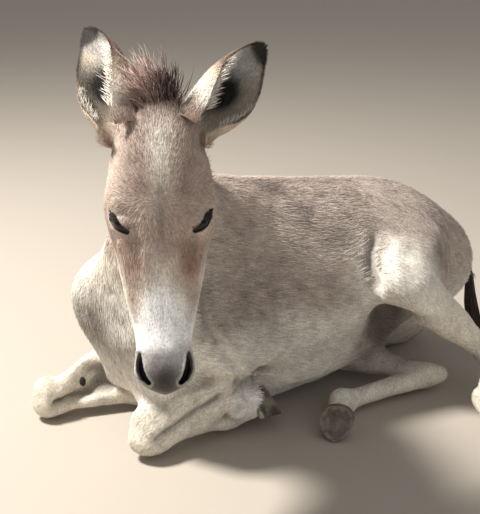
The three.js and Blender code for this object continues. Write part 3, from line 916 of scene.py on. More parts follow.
def join_leaf(skin, mesh):
    tool = put_in_scene("leaf", mesh)
    union = skin.modifiers.new("join", "BOOLEAN")
    union.operation, union.object, union.solver = "UNION", tool, "MANIFOLD"
    result = result_of(skin)
    skin.modifiers.clear()
    skin.data = result
    bpy.data.objects.remove(tool)


for s in SIDES:
    join_leaf(skin, leaves[s])
print("skin with ears:", len(skin.data.vertices), "points")


# %% Soften the join
def mend(mesh):
    """Clears slivers, leaves triangles only, and counts the edges that are still open."""
    bm = bmesh.new()
    bm.from_mesh(mesh)
    bmesh.ops.dissolve_degenerate(bm, dist=0.05 * MM, edges=bm.edges[:])
    bmesh.ops.triangulate(bm, faces=bm.faces[:])
    open_edges = sum(not e.is_manifold for e in bm.edges)
    bm.to_mesh(mesh)
    bm.free()
    return open_edges


print("open edges", mend(skin.data))
points = read_points(skin.data)
net = Net(len(points), read_edges(skin.data))
EAR_ROOT_REACH = 60 * MM
near_join = np.zeros(len(points))
for s in SIDES:
    root, axis, opening, across = ear_axes(s)
    up = (points - root) @ axis / MM
    close = np.linalg.norm(points - root, axis=1) < EAR_ROOT_REACH
    near_join = np.maximum(near_join, hill(up, 14) * close)
points = net.soften(points, 8, near_join * 0.6)
skin.data.vertices.foreach_set("co", points.ravel())
for face in skin.data.polygons:
    face.use_smooth = True
print("ears joined; skin faces", len(skin.data.polygons))

# %% [markdown]
# ## The lie of the coat
# Hair leans one way at each place: back along the trunk and a little down, from
# the head toward the shoulder on the neck, down the legs to the hooves, and up
# the ears. On the face it starts at a whorl between the eyes and leans away
# from it on all sides. Combing by hand would give this too, but one direction
# for each part, averaged over the skin, already turns smoothly from one part
# into the next.

# %% Directions for each part
points = read_points(skin.data)
net = Net(len(points), read_edges(skin.data))
part = part_of(points)
POLL_TO_WITHERS = (-224, 180, -230)
LIES = {
    "trunk": (0.1, 1, -0.3),
    "neck": POLL_TO_WITHERS,
    "foreleg_left_forearm": (-20, -244, -90),
    "foreleg_left_cannon": (10, 160, -4),
    "foreleg_right_forearm": (-4, -266, -93),
    "foreleg_right_cannon": (58, 176, -9),
    "hindleg_left_thigh": (0.5, 0.45, -0.75),
    "hindleg_left_gaskin": (50, 224, -194),
    "hindleg_left_cannon": (138, -176, 4),
    "hindleg_right_thigh": (276, -76, -95),
    "hindleg_right_gaskin": (222, 160, -41),
    "hindleg_right_cannon": (-12, -218, -6),
    "tail": (14, 60, -60),
}


def on_parts(*names):
    """True for the points that grew round one of these solids."""
    return np.isin(part, [parts.index(n) for n in names])


def soft(mask, rounds):
    """A mask with soft borders."""
    return net.soften(mask.astype(float), rounds)


lie = np.tile(unit(LIES["trunk"]), (len(points), 1))
for number, name in enumerate(parts):
    for start, way in LIES.items():
        if name.startswith(start):
            lie[part == number] = unit(way)
for s, name in EAR_NAMES.items():
    lie[on_parts(name)] = ear_axes(s)[1]
print("directions for", len(LIES) + 2, "parts")

# %% Chest, flank and face
drawn = (points - DRAWN) / MM
side, down, out = head_ruler(points)
WHORL_DOWN = 150
is_head = on_parts("head", *EYES)
from_whorl = np.stack([side * 0.9, down - WHORL_DOWN, out * 0], 1) + (0, 6, 0)
pull = HEAD_SIDE * from_whorl[:, :1] + HEAD_ALONG * from_whorl[:, 1:2]
down_face = HEAD_ALONG * np.where(down > WHORL_DOWN, 1, -0.2)[:, None] * 40
lie[is_head] = unit((pull + down_face - HEAD_OUT * 12)[is_head])
is_trunk = on_parts("trunk")
chest = ease((-120 - drawn[:, 1]) / 90)
sides = np.sign(drawn[:, 0]) * ease(abs(drawn[:, 0]) / 120)
down_chest = unit(np.stack([0.35 * sides, np.full(len(sides), 0.15), -np.ones(len(sides))], 1))
lie[is_trunk] += (down_chest - lie)[is_trunk] * chest[is_trunk, None]
flank = np.exp(-(((drawn - (165, 290, 330)) / (60, 75, 80)) ** 2).sum(1))
lie += np.array((0.25, 0.3, 1.3)) * flank[:, None]
lie = unit(net.soften(unit(lie), 16, 0.6))
print("whorl at", WHORL_DOWN, "mm down the face; flank swirl", (flank > 0.5).sum(), "points")

# %% [markdown]
# ## How long, how thick, how tight
# The winter coat of a young donkey is longest on the trunk and shortest round
# the eyes and on the muzzle. One number for each point holds the length of the
# tufts that grow there, and a second marks the bare places. A tuft's width and
# its distance to the next one follow from its length, so one number is enough.

# %% Tuft length
REACH = {
    "trunk": 20, "neck": 19, "head": 10, "eye": 4, "ear": 7, "hoof": -8, "foreleg": 8,
    "hindleg": 8.5, "tail": 15, "thigh": 12, "forearm": 10, "gaskin": 10, "cannon": 6.5,
}
reach = by_part(REACH, part, 10)
reach[is_trunk] -= 5 * chest[is_trunk]
on_top = np.interp(down, [-20, 60, 150, 230, 300, 345, 380, 430], [15, 12.5, 10.5, 9.5, 7, 4.5, 2.8, 2.4])
reach = np.where(is_head, on_top + 3 * ease((-out - 40) / 60), reach)
reach = np.maximum(net.soften(reach, 10), 2)
reach *= 0.3 + 0.7 * ease((drawn[:, 2] - 2) / 14)

from_slit = eye_distance(points)
reach *= 0.3 + 0.7 * ease((from_slit - 1) / 20)
print("tufts from", reach.min().round(1), "to", reach.max().round(1), "mm")


# %% Bare places
MARK_REACH = 5 * MM


def tree_of(places):
    """Finds the nearest of many places."""
    tree = KDTree(len(places))
    for i, place in enumerate(places):
        tree.insert(place, i)
    tree.balance()
    return tree


def nostril_distance(points):
    """Millimetres from each nostril's rim, below 0 inside it, as marked while it was carved."""
    marks = tree_of([mark[0] for mark in nostril_marks])
    found = [marks.find(p) for p in points]
    return np.array([nostril_marks[i][1] if d < MARK_REACH else 60 for place, i, d in found])


from_nostril = nostril_distance(points)
bare = np.maximum(1 - ease((from_slit - 2.5) / 4.0), 1 - ease((from_nostril - 0.5) / 2.5))


def slot_depth(points):
    """1 on the wall of the eye opening, where the skin is wet and dark."""
    inside = np.zeros(len(points))
    for s in SIDES:
        z, x, y, far = eye_ruler(points, s)
        ball = (z > 0) & (far < LASH_BALL) & (abs(y) < 9)
        inside = np.where(ball & (abs(x) < SLIT_HALF + 1), 1, inside)
    return inside


wet = slot_depth(points)
bare = np.maximum(bare, wet)
# Hair under the body is crushed flat against the floor, so none grows there.
under_body = 1 - ease((drawn[:, 2] - 1.5) / 4)
bare = np.maximum(bare, under_body)
print("bare points", int((bare > 0.5).sum()), "wet", int(wet.sum()))

# %% [markdown]
# ## Markings
# The coat is a grey dun that fades to cream below, with a white nose, a reddish
# patch under each eye and a dark muzzle. A painted map would show its seams
# between the tufts. All of these are soft clouds of colour, so each is drawn as
# one: a place, three half sizes and a colour. They are kept on the skin's
# points, and each tuft takes the colour of the place where it is rooted, so
# skin and coat always agree.


# %% A few named colours
def tint(r, g, b):
    """A screen colour of 0 to 255 as the light it stands for."""
    c = np.array((r, g, b)) / 255
    return np.where(c < 0.04045, c / 12.92, ((c + 0.055) / 1.055) ** 2.4)


CREAM = tint(232, 227, 217)
WHITE = tint(248, 248, 246)
LEG_CREAM = tint(228, 221, 207)
TAN = tint(206, 190, 166)
TAUPE = tint(186, 171, 160)
DUN = tint(178, 156, 142)
DARK_TUFT = tint(98, 86, 82)
GREY = tint(146, 143, 138)
REDDISH = tint(146, 108, 90)
EAR_BROWN = tint(116, 82, 66)
MUZZLE = tint(46, 38, 32)
NEAR_BLACK = tint(36, 30, 28)
BLACK = tint(16, 13, 12)
FROST = tint(204, 196, 188)
MAUVE = tint(148, 127, 118)
SHADE = tint(118, 110, 102)


def cloud(points, middle, sizes, axes=None, power=2):
    """1 in the middle of an egg-shaped cloud, fading to 0 a little past its half sizes."""
    away = points - middle
    if axes is not None:
        away = away @ np.array(axes).T
    return np.exp(-0.7 * ((away / (np.array(sizes) * MM)) ** 2).sum(1) ** (power / 2))


colour = np.tile(CREAM, (len(points), 1))


def lay(tone, share):
    """Lays a colour over the skin's own, as strongly as its share says."""
    colour[:] = colour + (tone - colour) * np.clip(share, 0, 1)[:, None]


print("colours ready; cream is", CREAM.round(2))


# %% A slow random field for ragged borders
def wander(points, scale, seed):
    """Smooth noise between about -1 and 1, a sum of slanted waves."""
    pick = np.random.default_rng(seed)
    total = np.zeros(len(points))
    for octave in (1, 2, 4):
        for _ in range(5):
            way = unit(pick.normal(size=3)) * octave * 2 * math.pi / scale
            total += np.sin(points @ way + pick.uniform(0, 7)) / octave
    return total / 5


ragged = wander(points, 0.11, 3) * 0.5 + wander(points, 0.035, 4) * 0.5
print("wander", ragged.min().round(2), ragged.max().round(2))

# %% Trunk, neck and thighs
x, y, z = drawn.T
upper = ease((z - 195 + 30 * ragged) / 75) * ease((y + 190 + 25 * ragged) / 150)
rump = ease((y - 380 + 30 * ragged) / 130)
upper = np.maximum(upper, rump * ease((z - 120) / 150))
# Painted light: the dun is taken off the right of the chest and shoulder, the side that faces the key lamp.
upper *= 1 - 0.85 * ease((x + 20) / -120) * ease((-60 - y) / 90)
lay(TAUPE, upper * 0.93)
lay(DUN, upper * ease((z - 380) / 80) * 0.35)
thigh_white = cloud(points, at(225, 320, 270), (80, 95, 95))
thigh_white = ease(thigh_white * 1.3 + 0.05 * ragged)
neck_part = on_parts("neck")
# On the neck the dun deepens toward the donkey's left, away from the key lamp: the neck's own dun, darkened
# there with painted shade.
lay(TAUPE, np.where(neck_part, 0.75 * ease((x + 40) / 120 + 0.2 * ragged), 0))
chest_tan = cloud(points, at(-10, -230, 400), (150, 90, 110))
lay(TAN, chest_tan * (0.35 + 0.2 * ragged))
print("brown over", upper.mean().round(2), "of the coat")

# %% Dark tufts and painted shade on the trunk
# Painted shade on the brisket, the flank and the belly: a place, three half sizes and a strength.
SHADED = [
    ((-20, -262, 235), (90, 40, 70), 0.95), ((175, 10, 300), (50, 90, 90), 0.6),
    ((190, 150, 150), (60, 120, 40), 0.3),
]
# Dark tufts and smudges of the coat, with painted shade on the chest and in the crease behind the shoulder:
# a place, three half sizes and a strength.
DARK_TUFTS_AND_SHADE = [
    ((25, 111, 461), (30, 18, 20), 0.75), ((29, 138, 456), (24, 16, 20), 0.7),
    ((91, 155, 414), (36, 20, 24), 0.55), ((137, 209, 363), (26, 26, 22), 0.45),
    ((60, 240, 440), (26, 22, 20), 0.4), ((100, 507, 360), (26, 22, 22), 0.6),
    ((173, 463, 293), (22, 22, 26), 0.55), ((40, 420, 420), (30, 26, 20), 0.35),
    ((-13, -257, 262), (26, 24, 17), 0.8), ((92, -250, 240), (48, 34, 52), 0.4),
    ((60, -250, 305), (34, 34, 34), 0.35), ((20, -212, 140), (60, 40, 30), 0.3),
    ((165, -114, 274), (14, 22, 40), 0.35), ((-112, -285, 56), (24, 26, 22), 0.5),
    ((-60, 250, 430), (40, 30, 26), 0.4), ((-90, 90, 420), (44, 26, 26), 0.4),
]
for place, sizes, strength in DARK_TUFTS_AND_SHADE:
    spot = cloud(points, at(*place), sizes) * (strength + 0.25 * ragged)
    lay(DARK_TUFT if strength > 0.4 else GREY, spot)
for place, sizes, strength in SHADED:
    lay(SHADE, cloud(points, at(*place), sizes) * (strength + 0.15 * ragged))
lay(CREAM, thigh_white)
upper = upper * (1 - thigh_white)
mottle = upper * np.clip(wander(points, 0.03, 12) + wander(points, 0.012, 13) * 0.6 - 0.15, 0, 1)
lay(DARK_TUFT, mottle * 0.55)
frosty = upper * np.clip(wander(points, 0.025, 14) - 0.1, 0, 1)
lay(FROST, frosty * 0.6)
print("trunk painted;", len(DARK_TUFTS_AND_SHADE), "dark tufts")

# %% The stripe along the back and the legs
back = np.exp(-0.7 * (x / 13) ** 2) * ease((z - 380) / 40) * (y > -40)
lay(DARK_TUFT, back * 0.35)
is_leg = np.isin(part, [i for i, n in enumerate(parts) if "leg" in n and "thigh" not in n])
legs = soft(is_leg, 8)
lay(LEG_CREAM, legs * 0.9)
# Painted shade in the hollow between the belly and the left thigh.
groin_shade = cloud(points, at(120, 350, 120), (66, 80, 66))
lay(DARK_TUFT, groin_shade * 0.95)
lay(GREY, legs * np.clip(wander(points, 0.05, 8) - 0.25, 0, 1) * 0.35)
is_tail = soft(on_parts("tail"), 6)
lay(TAUPE, is_tail * 0.8)
lay(DARK_TUFT, is_tail * ease((268 - z) / 60))
heel = cloud(points, at(158, -10, 68), (24, 26, 26))
lay(WHITE, heel * 0.9)
# Painted shade in the small hollow of the heel.
heel_hollow_shade = cloud(points, at(163, -34, 75), (8, 8, 8))
lay(GREY, heel_hollow_shade * 0.8)
print("legs painted", int(is_leg.sum()))

# %% Painted shade in the folds
skin_corners = read_corners(skin.data)
# Where the skin lies below its smoothed neighbourhood, in creases and folds, it is painted darker as shade.
flatter = net.soften(points, 44)
sunk = ((flatter - points) * normals_of(points, skin_corners)).sum(1) / MM
is_body = ~is_head & ~on_parts(*EAR_NAMES.values())
fold = ease((net.soften(sunk, 3) - 0.7) / 2.8) * is_body
lay(SHADE, net.soften(fold, 2) * 0.75)
print("folds", int((fold > 0.5).sum()), "points")

# %% The face
face = soft(is_head, 3)
forehead = face * ease((262 - down + 10 * ragged) / 70)
lay(CREAM, face)
lay(TAN, face * 0.25)
lay(DUN, forehead * 0.85)
nose = face * ease((down - 245 - abs(side) * 0.9 + 8 * ragged) / 32) * ease((out + 60) / 30)
lay(WHITE, nose)
for s in SIDES:
    patch = cloud(points, on_head(s * 46, 236, -8), (21, 42, 26), HEAD_AXES, 3)
    patch = np.maximum(patch, cloud(points, on_head(s * 47, 292, -14), (12, 40, 18), HEAD_AXES) * 0.7)
    lay(REDDISH, face * patch * (0.85 + 0.2 * ragged))
    slit_pale = hill(from_slit - 7, 5) * ease(side * s / 20)
    lay(FROST, face * slit_pale * 0.3)
    tear = line_distance(points, [on_head(s * 52, 190, -4), on_head(s * 41, 222, -4)])[0]
    lay(GREY, face * hill(tear, 6) * 0.45)
mauve = face * hill(abs(side) - 34, 20) * hill(down - 105, 60)
lay(MAUVE, mauve * (0.6 + 0.3 * ragged))
streaks = cloud(points, on_head(2, 74, 10), (15, 56, 40), HEAD_AXES) * (0.7 + 0.5 * wander(points, 0.016, 9))
lay(CREAM, face * streaks)
bridge = face * hill(side, 17) * hill(down - 200, 52)
lay(MAUVE, bridge * (0.3 + 0.25 * ragged))
# The poll is painted darker as the shadow that the ears cast on it.
poll = face * ease((34 - down + 10 * ragged) / 30)
lay(MAUVE, poll * 0.8)
middle_line = hill(side, 5) * hill(down - 160, 38)
lay(MUZZLE, face * middle_line * 0.35)
print("face painted", int((face > 0.5).sum()))

# %% Muzzle, lids and nostrils
grey_end = face * ease((down - 352 + 5 * ragged) / 26)
lay(GREY, grey_end * 0.8)
dark_end = cloud(points, on_head(1, 420, -14), (25, 38, 40), HEAD_AXES, 3)
lay(MUZZLE, face * dark_end * (0.95 + 0.1 * ragged))
for x, top, end in ((-16, 306, 352), (6, 300, 330)):
    vein = line_distance(points, [on_head(x, top, 0), on_head(x - 2, end, 2)])[0]
    lay(GREY, face * hill(vein, 1.8) * 0.5)
chin = face * ease((-out - 48) / 20) * ease((down - 360) / 30)
lay(GREY, chin * 0.6)
lay(FROST, face * hill(from_nostril - 3.5, 1.8) * 0.5)
lay(MUZZLE, ease((2.0 - from_nostril) / 1.5) * 0.8)
lay(BLACK, ease((0.6 - from_nostril) / 1.6))
lay(BLACK, 1 - ease((from_slit - 1.6) / 2.6))
lay(BLACK, wet)
print("muzzle painted", int((dark_end > 0.3).sum()))


# %% Ears
def on_ear(points, s):
    """Share up the ear, millimetres in front of its axis, and millimetres toward the head's middle."""
    root, axis, opening, across = ear_axes(s)
    away = (points - root) / MM
    toward_middle = across if across @ HEAD_SIDE * s < 0 else -across
    share = away @ axis / EAR_LENGTH
    return share, away @ opening, away @ toward_middle - ear_bow(s, share)


# How far from the middle of each ear, outward, the painted shade deep in its hollow lies.
EAR_SHADE = {1: 12, -1: 22}
for s, name in EAR_NAMES.items():
    here = soft(on_parts(name), 2)
    share, front, inner = on_ear(points, s)
    radius = ear_radius(share)
    from_axis = np.hypot(front - radius + EAR_SET_BACK, inner)
    halfway = radius - ear_wall(share) * 0.5
    cup = here * ease((halfway - from_axis) / 2.0) * ease((share - 0.04) / 0.1)
    edge = np.interp(share, EAR_SHARES, np.radians(EAR_EDGES)) * ear_narrowing(share)
    angle = np.abs(np.arctan2(inner, -(front - radius + EAR_SET_BACK)))
    rim = ease(1.2 - (edge - angle) * radius / 8.0) * ease((share - np.where(inner > 0, 0.32, 0.45)) / 0.15)
    outer = TAN + (DUN - TAN) * ease((share - 0.3 + 0.1 * ragged) / 0.3)[:, None]
    lay(outer, here * 0.9)
    medial = here * ease(inner / 8) * (1 - cup)
    lay(EAR_BROWN, medial * ease((share - 0.24 + 0.05 * ragged) / 0.2) * 0.85)
    lay(CREAM, medial * ease((0.3 - share) / 0.15) * 0.8)
    lay(GREY, cup)
    lay(FROST, cup * ease((share - 0.5) / 0.15) * (0.55 + 0.4 * ragged))
    lay(TAN, cup * ease((-inner - 10 + 8 * ragged) / 12) * (0.6 + 0.3 * ragged))
    lay(WHITE, cup * ease((inner - 4 + 8 * ragged) / 12) * ease((0.8 - share) / 0.2) * 0.8)
    # A black patch of painted shade deep in the ear's cup.
    low = hill(share - 0.4, 0.18) * hill(inner + EAR_SHADE[s], 20)
    lay(BLACK, cup * low * 1.7)
    lay(NEAR_BLACK, here * ease((share - 0.8 + 0.03 * ragged) / 0.06) * 0.97)
    lay(NEAR_BLACK, here * rim * 0.9)
    print(name, "painted; inside", int((cup > 0.5).sum()), "points")

# %% Keep them on the skin
FIELDS = {"INT": "value", "FLOAT": "value", "FLOAT_VECTOR": "vector", "FLOAT_COLOR": "color"}


def keep(mesh, name, kind, values, domain="POINT"):
    """Writes values on a mesh under a name."""
    values = np.asarray(values, np.int32 if kind == "INT" else np.float32)
    mesh.attributes.new(name, kind, domain).data.foreach_set(FIELDS[kind], values.ravel())


def keep_ground(mesh, colours):
    keep(mesh, "ground", "FLOAT_COLOR", np.concatenate([colours, np.ones((len(colours), 1))], 1))


keep(skin.data, "lie", "FLOAT_VECTOR", lie)
keep(skin.data, "reach", "FLOAT", reach * MM)
keep_ground(skin.data, colour)
keep(skin.data, "bare", "FLOAT", bare)
print("kept on the skin:", [a.name for a in skin.data.attributes if not a.name.startswith(".")])

# %% [markdown]
# ## A flat map of the skin
# A map lets each tuft find its root's place on the skin when its colours are
# baked. Smart projection cuts the skin into nearly flat pieces and packs them.

# %% Unwrap
bpy.context.view_layer.objects.active = skin
skin.select_set(True)
skin.data.uv_layers.new(name="OFBake")
bpy.ops.object.mode_set(mode="EDIT")
bpy.ops.mesh.select_all(action="SELECT")
bpy.ops.uv.smart_project(angle_limit=math.radians(66), island_margin=0.001)
bpy.ops.object.mode_set(mode="OBJECT")
print("map", skin.data.uv_layers["OFBake"].name)

# %% [markdown]
# ## Writing a finish as sums
# A material is a network of nodes. Written as plain sums it is much easier to
# read. The class below wraps one socket: arithmetic on it adds Math nodes, and
# `add` places any other node, its settings first and then its sockets.


# %% Sockets that can be added and multiplied
class Socket:
    """One output in a node tree."""

    def __init__(self, tree, out=None):
        self.tree, self.out = tree, out

    def add(self, kind, settings=None, sockets=None, output=0):
        node = self.tree.nodes.new(kind)
        for name, value in (settings or {}).items():
            setattr(node, name, value)
        for name, value in (sockets or {}).items():
            if isinstance(value, Socket):
                self.tree.links.new(value.out, node.inputs[name])
            else:
                node.inputs[name].default_value = value
        return Socket(self.tree, node.outputs[output])

    def math(self, operation, a, b):
        return self.add("ShaderNodeMath", {"operation": operation}, {0: a, 1: b})

    def __add__(self, other): return self.math("ADD", self, other)
    def __radd__(self, other): return self.math("ADD", other, self)
    def __sub__(self, other): return self.math("SUBTRACT", self, other)
    def __rsub__(self, other): return self.math("SUBTRACT", other, self)
    def __mul__(self, other): return self.math("MULTIPLY", self, other)
    def __truediv__(self, other): return self.math("DIVIDE", self, other)
    def __pow__(self, other): return self.math("POWER", self, other)

    def rise(self, low, high):
        """0 below low, 1 above high, and soft between."""
        ends = {"Value": self, "From Min": low, "From Max": high}
        return self.add("ShaderNodeMapRange", {"interpolation_type": "SMOOTHSTEP"}, ends)

    def mix(self, share, a, b):
        """Colour a turning into colour b."""
        return self.add("ShaderNodeMix", {"data_type": "RGBA"}, {0: share, 6: a, 7: b}, 2)

    def vector(self, operation, a, b):
        sockets = {0: a, 3: b} if operation == "SCALE" else {0: a, 1: b}
        return self.add("ShaderNodeVectorMath", {"operation": operation}, sockets)

    def attribute(self, name, output="Fac"):
        return self.add("ShaderNodeAttribute", {"attribute_name": name}, output=output)

    def noise(self, vector, scale, detail=2.0):
        sockets = {"Vector": vector, "Scale": scale, "Detail": detail}
        return self.add("ShaderNodeTexNoise", None, sockets)

    def place(self):
        """Where on the object a point lies."""
        return self.add("ShaderNodeTexCoord", output="Object")

    def join(self, x, y, z):
        """Three numbers as one vector."""
        return self.add("ShaderNodeCombineXYZ", None, {0: x, 1: y, 2: z})

    def bump(self, height, strength, distance):
        """The shader's normal, tilted by a height."""
        sockets = {"Height": height, "Strength": strength, "Distance": distance}
        return self.add("ShaderNodeBump", None, sockets)


print("a socket can:", [n for n in vars(Socket) if not n.startswith("_")])


# %% Starting a finish
def rgba(colour):
    return (*[float(c) for c in colour], 1.0)


def new_finish(name):
    """A material, its shader and a Socket to start from."""
    material = bpy.data.materials.new(name)
    material.use_nodes = True
    tree = material.node_tree
    return material, tree.nodes["Principled BSDF"], Socket(tree)


def into(shader, name, value):
    """Links a Socket, or sets a number, on the shader."""
    if isinstance(value, Socket):
        value.tree.links.new(value.out, shader.inputs[name])
    else:
        shader.inputs[name].default_value = value


print("cream, as a shader takes it:", [round(c, 2) for c in rgba(CREAM)])

# %% [markdown]
# ## The finish of skin and coat
# Both use one recipe. The ground colour comes from the skin's points. Fine
# noise grizzles it, since each hair of a dun coat is banded light and dark.
# The skin shows only between tufts, so it is painted a little darker, as shade
# between them, and carries the finest hair as a bump.


# %% One recipe
def coat_colour(pen, tone):
    """The ground colour, grizzled, and lightened or darkened by a tone around 1."""
    place = pen.place()
    ground = pen.attribute("ground", "Color")
    grizzle = pen.noise(place, 260.0, 3.0) - 0.5
    patch = pen.noise(place, 38.0, 3.0) - 0.5
    level = tone * (1.04 + grizzle * 0.9 + patch * 0.7)
    return pen.vector("SCALE", ground, level)


skin_finish, shader, pen = new_finish("skin_and_down")
place = pen.place()
bare_here = pen.attribute("bare")
# Where hair grows the skin is painted a little darker, as shade between the tufts.
into(shader, "Base Color", coat_colour(pen, 0.94 + bare_here * 0.06))
into(shader, "Roughness", 0.85 - bare_here * 0.4)
shader.inputs["Specular IOR Level"].default_value = 0.3
hairs = pen.noise(place, 420.0, 3.0) * (1 - bare_here)
pores = pen.noise(place, 900.0, 2.0) * bare_here * 0.4
into(shader, "Normal", pen.bump(hairs + pores, 0.5, 0.0012))
skin.data.materials.clear()
skin.data.materials.append(skin_finish)
print("finish", skin_finish.name)

# %% The coat's own finish
coat_finish, shader, pen = new_finish("coat")
tone = pen.attribute("tone")
tip = pen.attribute("tip")
into(shader, "Base Color", coat_colour(pen, tone * (0.9 + tip * 0.2)))
shader.inputs["Roughness"].default_value = 0.6
shader.inputs["Specular IOR Level"].default_value = 0.35
shader.inputs["Sheen Weight"].default_value = 0.08
print("finish", coat_finish.name)

# %% [markdown]
# ## One tuft
# A tuft is a pinch of hairs stuck together: pointed at the root and at the tip,
# widest near the middle. Four corners are enough, because there are hundreds of
# thousands of them: a ridge runs from root to tip and two corners spread below
# it. It is drawn one unit long, wide and high, and each copy gets its real
# sizes. It lies along X with the skin below it.


# %% The tuft's mesh
def lock_mesh(name, corners, faces):
    mesh = bpy.data.meshes.new(name)
    mesh.from_pydata(corners, [], faces)
    mesh.shade_flat()
    along, across, up = np.array(corners).T
    keep(mesh, "tip", "FLOAT", along)
    keep(mesh, "patch", "FLOAT_VECTOR", np.stack([along, across + 0.5, up * 0], 1))
    return put_in_scene(name, mesh)


TUFT_POINTS = [(0, 0, -0.15), (0.42, 0.5, 0.05), (0.42, -0.5, 0.05), (1, 0, 0.85)]
TUFT_FACES = [(0, 2, 3), (0, 3, 1), (0, 1, 2), (3, 2, 1)]
tuft = lock_mesh("tuft", TUFT_POINTS, TUFT_FACES)
print("tuft of", len(TUFT_FACES), "triangles")

# %% [markdown]
# ## The coat as a rule
# A Geometry Nodes tree scatters roots over the skin. Each root reads the lie,
# the length and the ground colour kept there, turns a copy of the tuft to lie
# that way, and gives it its own length, slant and tone. Where tufts are short
# they are also narrow and close together, so the skin is covered evenly. At the
# end the copies are made real and each gets a tiny patch of the skin's map.

# %% Inputs of the coat tree
PATCH = 0.003
coat_tree = bpy.data.node_groups.new("coat growth", "GeometryNodeTree")
coat_tree.is_modifier = True
face = coat_tree.interface
face.new_socket("Geometry", in_out="INPUT", socket_type="NodeSocketGeometry")
SIZES = ["Piece", "Seed", "Cover", "Slimness", "Fineness", "Lift", "Unruliness"]
sockets = {}
for name in SIZES:
    kind = "NodeSocketInt" if name in ("Piece", "Seed") else "NodeSocketFloat"
    sockets[name] = face.new_socket(name, in_out="INPUT", socket_type=kind)
sockets["Tuft"] = face.new_socket("Tuft", in_out="INPUT", socket_type="NodeSocketObject")
face.new_socket("Geometry", in_out="OUTPUT", socket_type="NodeSocketGeometry")
given = coat_tree.nodes.new("NodeGroupInput")
grow = Socket(coat_tree)
ask = {name: Socket(coat_tree, given.outputs[name]) for name in [*SIZES, "Tuft", "Geometry"]}
print("inputs", list(ask))


# %% Roots
def named(name, kind):
    return grow.add("GeometryNodeInputNamedAttribute", {"data_type": kind}, {"Name": name})


def remember(geometry, name, kind, value, domain="POINT"):
    settings = {"data_type": kind, "domain": domain}
    given = {0: geometry, "Name": name, "Value": value}
    return grow.add("GeometryNodeStoreNamedAttribute", settings, given)


def forget(geometry, *names):
    for name in names:
        given = {"Geometry": geometry, "Name": name}
        geometry = grow.add("GeometryNodeRemoveAttribute", None, given)
    return geometry


def random(kind, low, high, seed):
    settings = {"data_type": kind}
    names = {"FLOAT": (2, 3, 1), "FLOAT_VECTOR": (0, 1, 0)}[kind]
    values = {names[0]: low, names[1]: high, "Seed": seed}
    return grow.add("FunctionNodeRandomValue", settings, values, names[2])


length = named("reach", "FLOAT")
width = length * ask["Slimness"] + ask["Fineness"]
here = grow.add("FunctionNodeCompare", {"data_type": "INT", "operation": "EQUAL"}, {
    2: named("piece", "INT"), 3: ask["Piece"],
})
crowd = ask["Cover"] * (1 - named("bare", "FLOAT")) / (length * width)
scatter = coat_tree.nodes.new("GeometryNodeDistributePointsOnFaces")
roots = Socket(coat_tree, scatter.outputs["Points"])
skin_way = Socket(coat_tree, scatter.outputs["Normal"])
feeds = {"Mesh": ask["Geometry"], "Selection": here, "Density": crowd, "Seed": ask["Seed"]}
for name, value in feeds.items():
    coat_tree.links.new(value.out, scatter.inputs[name])
roots = remember(roots, "root_map", "FLOAT_VECTOR", named("OFBake", "FLOAT_VECTOR"))
roots = remember(roots, "tone", "FLOAT", random("FLOAT", 0.76, 1.2, 5))
roots = forget(roots, "OFBake", "bare", "piece")
print("roots ready")

# %% Tufts on the roots
stray = ask["Unruliness"]
slant = random("FLOAT_VECTOR", (-1, -1, -1), (1, 1, 1), 6)
roll = random("FLOAT_VECTOR", (-1, -1, -1), (1, 1, 1), 7)
way = grow.vector("ADD", named("lie", "FLOAT_VECTOR"), grow.vector("SCALE", slant, stray))
up = grow.vector("ADD", skin_way, grow.vector("SCALE", roll, stray * 0.6))
turn = grow.add("FunctionNodeAxesToRotation", {"primary_axis": "Z", "secondary_axis": "X"}, {0: up, 1: way})
grown = length * random("FLOAT", 0.7, 1.25, 8)
size = grow.join(grown, width * random("FLOAT", 0.7, 1.3, 9), grown * ask["Lift"])
pattern = grow.add("GeometryNodeObjectInfo", None, {"Object": ask["Tuft"]}, "Geometry")
copies = grow.add("GeometryNodeInstanceOnPoints", None, {
    "Points": roots, "Instance": pattern, "Rotation": turn, "Scale": size,
})
real = grow.add("GeometryNodeRealizeInstances", None, {"Geometry": copies})
small = named("patch", "FLOAT_VECTOR")
spot = grow.vector("ADD", named("root_map", "FLOAT_VECTOR"), grow.vector("SCALE", small, PATCH))
real = remember(real, "OFBake", "FLOAT2", spot, "CORNER")
real = forget(real, "root_map", "patch", "lie", "reach")
real = grow.add("GeometryNodeSetMaterial", None, {"Geometry": real, "Material": coat_finish})
done = coat_tree.nodes.new("NodeGroupOutput")
coat_tree.links.new(real.out, done.inputs["Geometry"])
print("tree of", len(coat_tree.nodes), "nodes")

# %% [markdown]
# ## Growing the coat piece by piece
# A mesh of more than a million faces is heavy to handle, so the skin is shared
# out into pieces, each with its own sizes and seed. Face and feet get the
# finest tufts, because there the eye looks closest.

# %% Share out the skin
PIECES = {
    "coat_head_left": ("head", "eye"),
    "coat_ears": ("ear",),
    "coat_forelegs": ("foreleg",),
    "coat_hindlegs": ("hindleg",),
    "coat_thigh_left": ("hindleg_left_thigh",),
    "coat_thigh_right": ("hindleg_right_thigh",),
    "coat_neck": ("neck", "mane"),
    "coat_tail": ("tail",),
}
piece_names = [*PIECES, "coat_head_right", "coat_chest", "coat_flank_left", "coat_flank_right"]
middles = points[skin_corners].mean(1)
face_part = part[skin_corners[:, 0]]
piece = np.where(middles[:, 0] > at(10, 0, 0)[0], len(PIECES) + 2, len(PIECES) + 3)
piece[middles[:, 1] < at(0, -40, 0)[1]] = len(PIECES) + 1
for number, starts in enumerate(PIECES.values()):
    for index, name in enumerate(parts):
        if name.startswith(starts):
            piece[face_part == index] = number
piece[(piece == 0) & (head_ruler(middles)[0] < 0)] = len(PIECES)
keep(skin.data, "piece", "INT", piece, "FACE")
print({name: int((piece == n).sum()) for n, name in enumerate(piece_names)})

# %% Grow every piece
FIRST_SEED = 40
